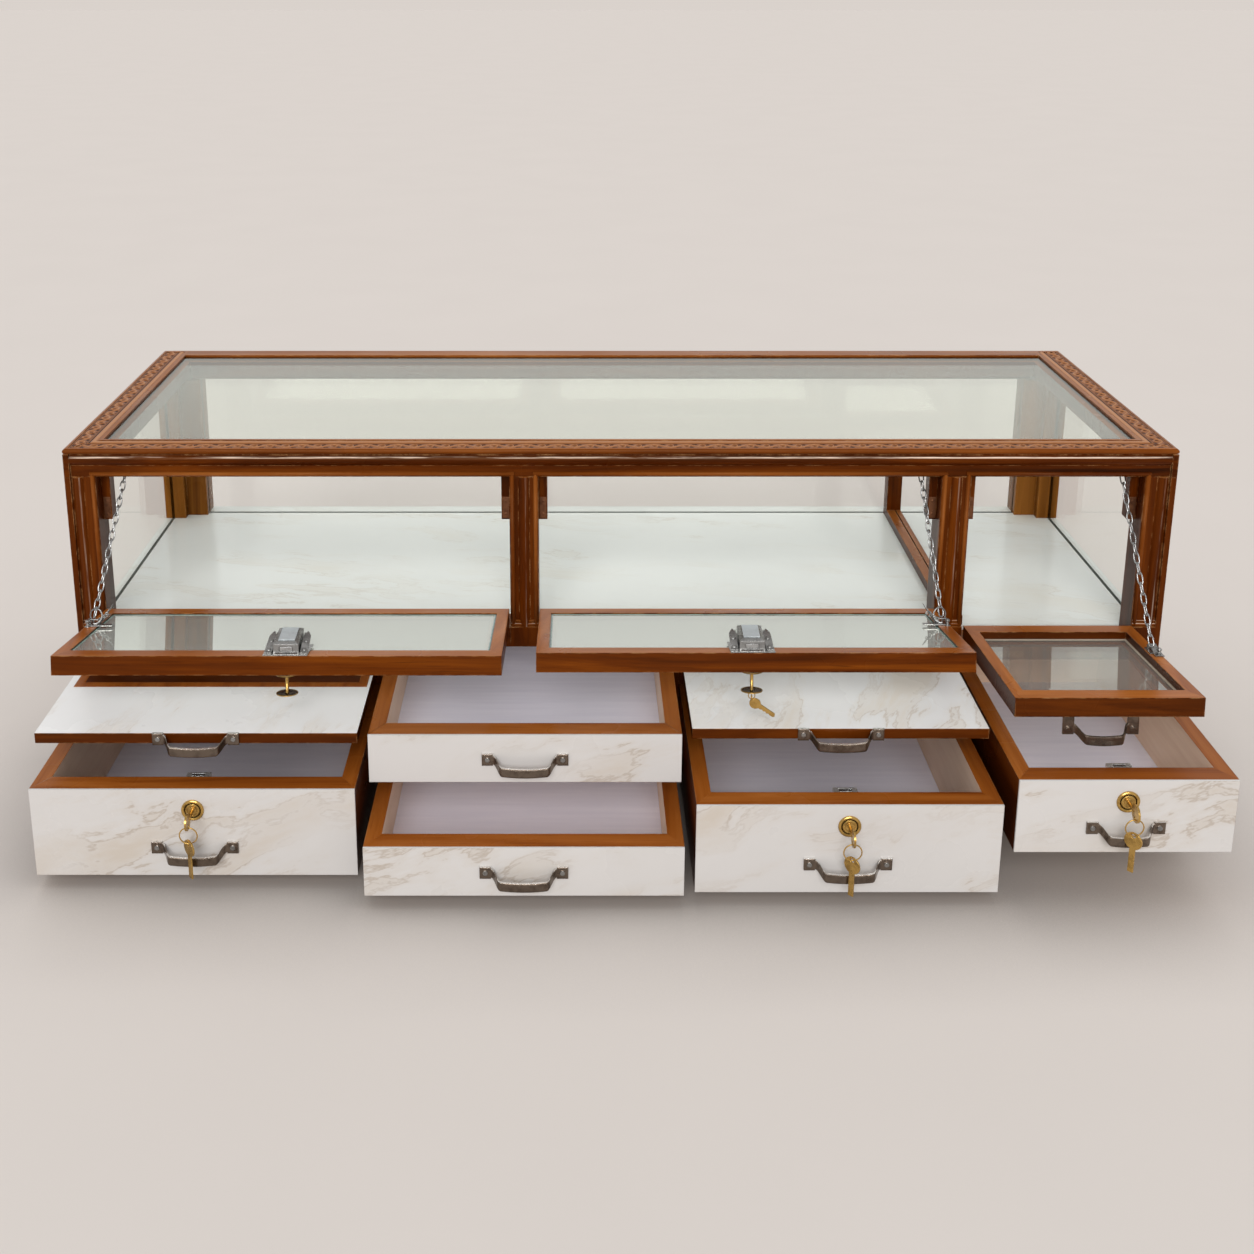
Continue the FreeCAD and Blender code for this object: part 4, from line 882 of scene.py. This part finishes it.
COIL_RADIUS = 0.0028
COIL_TURN = 18
for name, flap in CHAINS.items():
    tail = flap_local(flap, chain_path(name)[1][None, :])[0]
    inward = 1 if flap == "flap_left" else -1
    pin_x, pin_y = tail[0] - inward * 0.003, tail[1]
    parts = [turned(KNOB, (pin_x - inward * 0.002, pin_y - 0.013, FLAP_FACE), (0, 0, 1))]
    if flap == "flap_right":
        rise = np.linspace(0, 1, 8)
        tongue = curve(pin_x, pin_y - 0.022 + 0.026 * rise, FLAP_FACE + 0.0014 + 0.007 * rise**2)
        parts.append(ribbon(tongue, (1, 0, 0), 0.012 - 0.004 * rise, 0.0015))
    else:
        rise = np.linspace(0, 1, 10)
        foot = curve(pin_x + inward * (0.002 + 0.028 * rise), pin_y - 0.010, FLAP_FACE + 0.0012)
        parts.append(ribbon(foot, (0, 1, 0), 0.010 - 0.003 * rise, 0.0016))
        x = pin_x + inward * (0.008 + 0.020 * rise)
        fin = curve(x, pin_y - 0.006 + 0.006 * rise, FLAP_FACE + 0.002 + 0.024 * rise**1.3)
        parts.append(ribbon(fin, (inward * 0.35, 0, 1), 0.013 * (1.1 - rise) + 0.002, 0.0014))
        turn = np.linspace(-0.6, 1.35, 24) * math.pi
        x = pin_x + inward * (0.006 + 0.0085 * np.cos(turn))
        hook = curve(x, pin_y - 0.004 + 0.004 * np.sin(turn / 2), FLAP_FACE + 0.012 + 0.0095 * np.sin(turn))
        parts.append(tube(hook, 0.0010, 8))
        twist = np.linspace(0, 1, 40)
        x = pin_x + inward * (0.010 + 0.014 * twist) + COIL_RADIUS * np.cos(COIL_TURN * twist)
        z = FLAP_FACE + 0.005 + 0.012 * twist + COIL_RADIUS * np.sin(COIL_TURN * twist)
        parts.append(tube(curve(x, pin_y - 0.001 - 0.004 * twist, z), 0.0008, 7))
    points, polygons = on_flap(flap, parts)
    add_mesh(flap + "_chain_bracket", points, polygons, metal("nickel"), flap, "nickel")

PLATE_TOP = 0.416
PLATE_SHARE = 0.8
PLATE_THICK = 0.0003
PLATE_SCREW = tuple((0.6 * radius, 0.2 * height) for radius, height in DOME)
stops_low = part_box("stop_blocks")[0]
centres, normals = faces("stop_blocks")
lefts = np.unique(np.round(centres[normals[:, 0] < -0.8][:, 0], 4))
rights = np.unique(np.round(centres[normals[:, 0] > 0.8][:, 0], 4))
parts = []
for left, right in zip(lefts, rights):
    middle = (left + right) / 2
    levels = np.linspace(stops_low.z + 0.002, PLATE_TOP, 4)
    path = curve(middle, stops_low.y - 0.0002, levels)
    parts.append(ribbon(path, (1, 0, 0), (right - left) * PLATE_SHARE, PLATE_THICK))
    for level in (stops_low.z + 0.008, PLATE_TOP - 0.006):
        parts.append(turned(PLATE_SCREW, (middle, stops_low.y - PLATE_THICK, level), (0, -1, 0)))
points, polygons = joined(parts)
add_mesh("strike_plates", points, polygons, metal("copper"), "cabinet", "brass")

FRONT = rails_low.y
SET_BACK = 0.004
BAY_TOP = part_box("top_rails")[0].z
FOOT_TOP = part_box("front_posts")[0].z + 0.030
BAY_BEAD = 0.003
BAY_EDGE = 0.004
# Height above the foot and radius of each moulding.
MOULDINGS = ((0.003, 0.003), (0.008, 0.0018))
# Left and right side of each post.
POSTS = ((-0.762, -0.721), (-0.153, -0.113), (0.442, 0.482), (0.721, 0.762))
uprights, heads, feet = [], [], []
for (_, left), (right, _) in zip(POSTS, POSTS[1:]):
    left, right, face, top = left - BAY_EDGE, right + BAY_EDGE, FRONT + SET_BACK, BAY_TOP + BAY_EDGE
    for x in (left, right):
        uprights.append(tube([(x, face, FOOT_TOP), (x, face, top)], BAY_BEAD, 12))
    heads.append(tube([(left - BAY_BEAD, face, top), (right + BAY_BEAD, face, top)], BAY_BEAD, 12))
for left, right in POSTS:
    for level, radius in MOULDINGS:
        path = curve((left + 0.001, right - 0.001), FRONT + SET_BACK, FOOT_TOP + level)
        feet.append(tube(path, radius, 12))
add_mesh("bay_bead_uprights", *joined(uprights), wood("z", "nose"), "cabinet", "teak", smooth=True)
add_mesh("bay_bead_heads", *joined(heads), wood("x", "nose"), "cabinet", "teak", smooth=True)
# The foot mouldings carry a painted glint.
add_mesh("post_foot_mouldings", *joined(feet), wood("x", "nose", 0.5, 0.9), "cabinet", "teak", smooth=True)

pane_low, pane_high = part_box("top_glass")
edge = curve((pane_low.x, pane_high.x), pane_low.y + 0.0009, pane_high.z + 0.0002)
add_mesh("top_glass_front_line", *ribbon(edge, (0, 1, 0), 0.0014, 0.0003), DARK_EDGE, "cabinet", "glass")


def border(x_span, y_span, z, width, thick):
    """Four flat strips just inside a rectangle."""
    half = width / 2
    (x0, x1), (y0, y1) = x_span, y_span
    strips = []
    for y in (y0 + half, y1 - half):
        strips.append(ribbon([(x0, y, z), (x1, y, z)], (0, 1, 0), width, thick))
    for x in (x0 + half, x1 - half):
        strips.append(ribbon([(x, y0 + width, z), (x, y1 - width, z)], (1, 0, 0), width, thick))
    return strips


PUTTY = board("glazing_putty", (0.52, 0.45, 0.36), (0.38, 0.31, 0.23), "x")
for name in FLAPS:
    mesh = NODES[name + "_glass"].data
    corners = flap_local(name, [vertex.co for vertex in mesh.vertices])
    low, high = corners.min(axis=0), corners.max(axis=0)
    spans = ((low[0], high[0]), (low[1], high[1]))
    width, look = (0.0035, PUTTY) if name == "flap_right" else (0.0016, DARK_EDGE)
    points, polygons = on_flap(name, border(*spans, high[2] + 0.0004, width, 0.0006))
    add_mesh(name + "_glass_line", points, polygons, look, name, "glass")
    if name == "flap_right":
        continue
    inside = tuple((span[0] + width, span[1] - width) for span in spans)
    points, polygons = on_flap(name, border(*inside, high[2] + 0.0003, 0.0014, 0.0004))
    add_mesh(name + "_glass_bevel", points, polygons, GREEN_EDGE, name, "glass")

LOCK_BACK = 0.008
LOCK_LENGTH = 0.038
# Half width, inset at the near and far end, and height at either end of the cover's rings.
COVER_RINGS = (
    (0.0162, -0.0010, -0.0008, 0.0000, 0.0000),
    (0.0156, -0.0008, -0.0006, 0.0128, 0.0222),
    (0.0116, 0.0030, 0.0030, 0.0156, 0.0238),
    (0.0104, 0.0044, 0.0044, 0.0159, 0.0236),
)
LID_LIFT = 0.0004
LID_THICK = 0.0006
BOLT_SLOT = ((-0.0090, 0.0034), (0.0090, 0.0034), (0.0090, 0.0098), (-0.0090, 0.0098))
for name in LOCKED_FLAPS:
    middle, free = lock_place(name)
    near, far = free + LOCK_BACK, free + LOCK_BACK + LOCK_LENGTH
    rings = []
    for half, inset, far_inset, low, high in COVER_RINGS:
        x = middle + half * np.array([-1, 1, 1, -1])
        y = np.array([near + inset] * 2 + [far - far_inset] * 2)
        rings.append(curve(x, y, FLAP_FACE + np.array([low, low, high, high])))
    slot = [(middle + x, near - 0.0009, FLAP_FACE + z) for x, z in BOLT_SLOT]
    # The wall at the free edge goes around the slot.
    sides = walls(len(rings), 4)
    sides[0:1] = [(0, 1, 17, 16), (1, 5, 18, 17), (5, 4, 19, 18), (4, 0, 16, 19)]
    points = flap_world(name, np.concatenate(rings + [slot]))
    add_mesh(name + "_lock_cover", points, sides + [(12, 13, 14, 15)], metal("nickel"), name, "nickel")
    # The lid's pale blue-grey is a painted reflection of the bright room on the cover's top.
    lid = rings[-1] + (0, 0, LID_LIFT)
    points = flap_world(name, np.concatenate([lid, lid + (0, 0, LID_THICK)]))
    add_mesh(name + "_lock_lid", points, walls(2, 4) + [(4, 5, 6, 7)], metal("plate"), name, "nickel")

ROSETTE = ((0.0062, 0.0001), (0.0066, 0.0012), (0.0082, 0.0014), (0.0090, 0.0005), (0.0104, 0.0005), (0.0112, 0.0013),
           (0.0128, 0.0014), (0.0139, 0.0006), (0.0141, 0.0001))
for name in LOCKED:
    axis = JOINTS[name + "_key_turn"]["pos_m"]
    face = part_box(name + "_lock")[0].y + 0.0005
    points, polygons = turned(ROSETTE, (axis[0], face, axis[2]), (0, -1, 0), 40)
    add_mesh(name + "_rosette", points, polygons, metal("brass"), name, "brass")

# Radius and height along the key of the turned shaft and of its disc.
KEY_STEM = ((0.0048, -0.0228), (0.0048, 0.0034), (0.0026, 0.0038), (0.0021, 0.0060), (0.0021, 0.0250), (0.0034, 0.0256))
KEY_DISC = ((0.0034, 0.0252), (0.0118, 0.0256), (0.0128, 0.0260), (0.0128, 0.0265), (0.0118, 0.0269), (0.0012, 0.0272))
DISC_LEVEL = 0.02625
DISC_RADIUS = 0.0131
EYE_RADIUS = 0.0042


def ring(centre, first, second, radius, wire):
    """A round wire ring in the plane of two directions."""
    turn = np.linspace(0, 2 * math.pi, 32, endpoint=False)[:, None]
    path = np.asarray(centre) + radius * (np.cos(turn) * np.asarray(first) + np.sin(turn) * np.asarray(second))
    return tube(path, wire, 8, closed=True)


hang = np.array(JOINTS["flap_middle_spare_key_swing"]["pos_m"])
for name in ("flap_left_key", "flap_middle_key"):
    centre = np.array(JOINTS[name + "_turn"]["pos_m"])
    outward = np.array(JOINTS[name + "_turn"]["axis"])
    outward *= -np.sign(outward[2])
    sideways = np.array([1.0, 0.0, 0.0])
    depth = np.cross(outward, sideways)
    parts = [turned(KEY_STEM, centre, outward, 20)]
    parts.append(ring(centre + DISC_LEVEL * outward, sideways, depth, DISC_RADIUS, 0.0008))
    if name == "flap_middle_key":
        reach = (hang - centre).dot(outward)
        parts.append(turned(((0.0011, DISC_LEVEL), (0.0011, reach - EYE_RADIUS)), centre, outward, 10))
        parts.append(ring(hang, sideways, outward, EYE_RADIUS, 0.0006))
    stem = add_mesh(name + "_stem", *joined(parts), metal("brass"), name, "brass", smooth=True)
    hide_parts(name)
    add_mesh(name + "_disc", *turned(KEY_DISC, centre, outward, 32), metal("bronze"), name, "brass")

SPARE_RING = 0.0036
SPARE_SLOPE = math.radians(35)
BOW_ROUND = 0.0075
BOW_HIGH = 0.0068
BOW_PLACE = (0.0043, -0.0028, -0.0095)
BLADE_HALF = 0.0030
SPARE_HALF = 0.0010
SPARE_TEETH = ((0.0100, 1.0), (0.0120, 0.5), (0.0145, 1.0), (0.0170, 0.5), (0.0195, 1.0), (0.0220, 0.5), (0.0245, 0.9),
               (0.0290, 0.8))
BOW_GAP = 0.42
around = np.linspace(BOW_GAP, 2 * math.pi - BOW_GAP, 28)
outline = [(BOW_ROUND * math.cos(a), BOW_HIGH * math.sin(a)) for a in around]
outline += [(u, -BLADE_HALF * share) for u, share in SPARE_TEETH]
outline += [(0.0310, -0.2 * BLADE_HALF), (0.0290, 0.9 * BLADE_HALF), (0.0085, BLADE_HALF)]
along = np.array([math.cos(SPARE_SLOPE), 0.0, -math.sin(SPARE_SLOPE)])
upward = np.array([math.sin(SPARE_SLOPE), 0.0, math.cos(SPARE_SLOPE)])
flat = np.array(outline)
middle = hang + BOW_PLACE + flat[:, :1] * along + flat[:, 1:] * upward
count = len(outline)
points = np.concatenate([middle - (0, SPARE_HALF, 0), middle + (0, SPARE_HALF, 0)])
key = (points, walls(2, count) + [tuple(range(count))[::-1], tuple(range(count, 2 * count))])
small = ring(hang - (0, 0, 0.8 * SPARE_RING), (0, 1, 0), (0, 0, 1), SPARE_RING, 0.0006)
spare = add_mesh("flap_middle_spare_key_hung", *joined([key, small]), metal("brass"), "flap_middle_spare_key", "brass")
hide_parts("flap_middle_spare_key")

tray_low, tray_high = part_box("slide_left_board")
TRAY_FROM = -0.3686
TRAY_TO = -0.2600
rim = border((tray_low.x + 0.010, tray_high.x - 0.004), (TRAY_FROM, TRAY_TO), tray_high.z + 0.0004, 0.012, 0.0006)
add_mesh("slide_left_tray_rim", *joined(rim), wood("y", "rim"), "slide_left", "teak")
well = curve((tray_low.x + 0.020, tray_high.x - 0.014), (TRAY_FROM + TRAY_TO) / 2, tray_high.z + 0.0002)
well = ribbon(well, (0, 1, 0), TRAY_TO - TRAY_FROM - 0.010, 0.0003)
add_mesh("slide_left_tray_well", *well, wood("x", "deep"), "slide_left", "teak")

CAMERA_DIP = 14.43
camera_data = bpy.data.cameras.new("camera")
camera_data.sensor_width = 36.0
camera_data.lens = 41.83
camera_data.shift_x = 0.0423
camera_data.shift_y = -0.2368
camera = bpy.data.objects.new("camera", camera_data)
camera.location = (-0.0639, -2.137, 1.147)
camera.rotation_euler = (math.radians(90 - CAMERA_DIP), 0, 0)
bpy.context.scene.collection.objects.link(camera)
bpy.context.scene.camera = camera

BACKGROUND = (0.70, 0.645, 0.604)
FLOOR_REACH = 30.0
g = new_look("floor")
speckle = g.noise(g.place(), 3.0, 4.0)
tone = g.mix(g.spread(speckle, 0.3, 0.7), BACKGROUND, times(BACKGROUND, 0.985))
# Painted shadow: in front of the cabinet, the floor darkens where ambient occlusion finds the cabinet near.
nearby = g.node("AmbientOcclusion", {"Distance": 0.2}, samples=8).outputs["AO"]
ahead = g.spread(g.node("SeparateXYZ", {"Vector": g.place()}).outputs["Y"], -0.05, -0.22)
painted_shadow = g.math("MULTIPLY", g.spread(nearby, 0.98, 0.35), ahead)
tone = g.mix(painted_shadow, tone, times(BACKGROUND, 0.5))
floor_look = g.principled({"Base Color": tone, "Roughness": 0.9, "Specular IOR Level": 0.0})
floor_mesh = bpy.data.meshes.new("floor")
corners = [(x * FLOOR_REACH, y * FLOOR_REACH, 0) for x, y in ((-1, -1), (1, -1), (1, 1), (-1, 1))]
floor_mesh.from_pydata(corners, [], [(0, 1, 2, 3)])
floor_mesh.materials.append(floor_look)
floor = bpy.data.objects.new("floor", floor_mesh)
bpy.context.scene.collection.objects.link(floor)

# The room's light is stronger from behind the part; the camera itself sees the plain background.
world = bpy.data.worlds.new("studio")
bpy.context.scene.world = world
g = Graph(world)
behind = g.node("SeparateXYZ", {"Vector": g.node("TexCoord").outputs["Generated"]}).outputs["Y"]
strength = g.spread(behind, -0.3, 0.7, 0.58, 0.86)
light = g.node("Background", {"Color": (1.0, 1.0, 1.0, 1.0), "Strength": strength}).outputs["Background"]
seen = g.node("Background", {"Color": (*BACKGROUND, 1.0)}).outputs["Background"]
to_camera = g.node("LightPath").outputs["Is Camera Ray"]
g.done(g.node("MixShader", {0: to_camera, 1: light, 2: seen}).outputs["Shader"], "OutputWorld")

sun_data = bpy.data.lights.new("sun", "SUN")
sun_data.energy = 2.2
sun_data.angle = math.radians(36)
sun = bpy.data.objects.new("sun", sun_data)
sun.rotation_euler = (math.radians(61), 0, math.radians(-4))
bpy.context.scene.collection.objects.link(sun)

bpy.context.scene.view_settings.view_transform = "Standard"
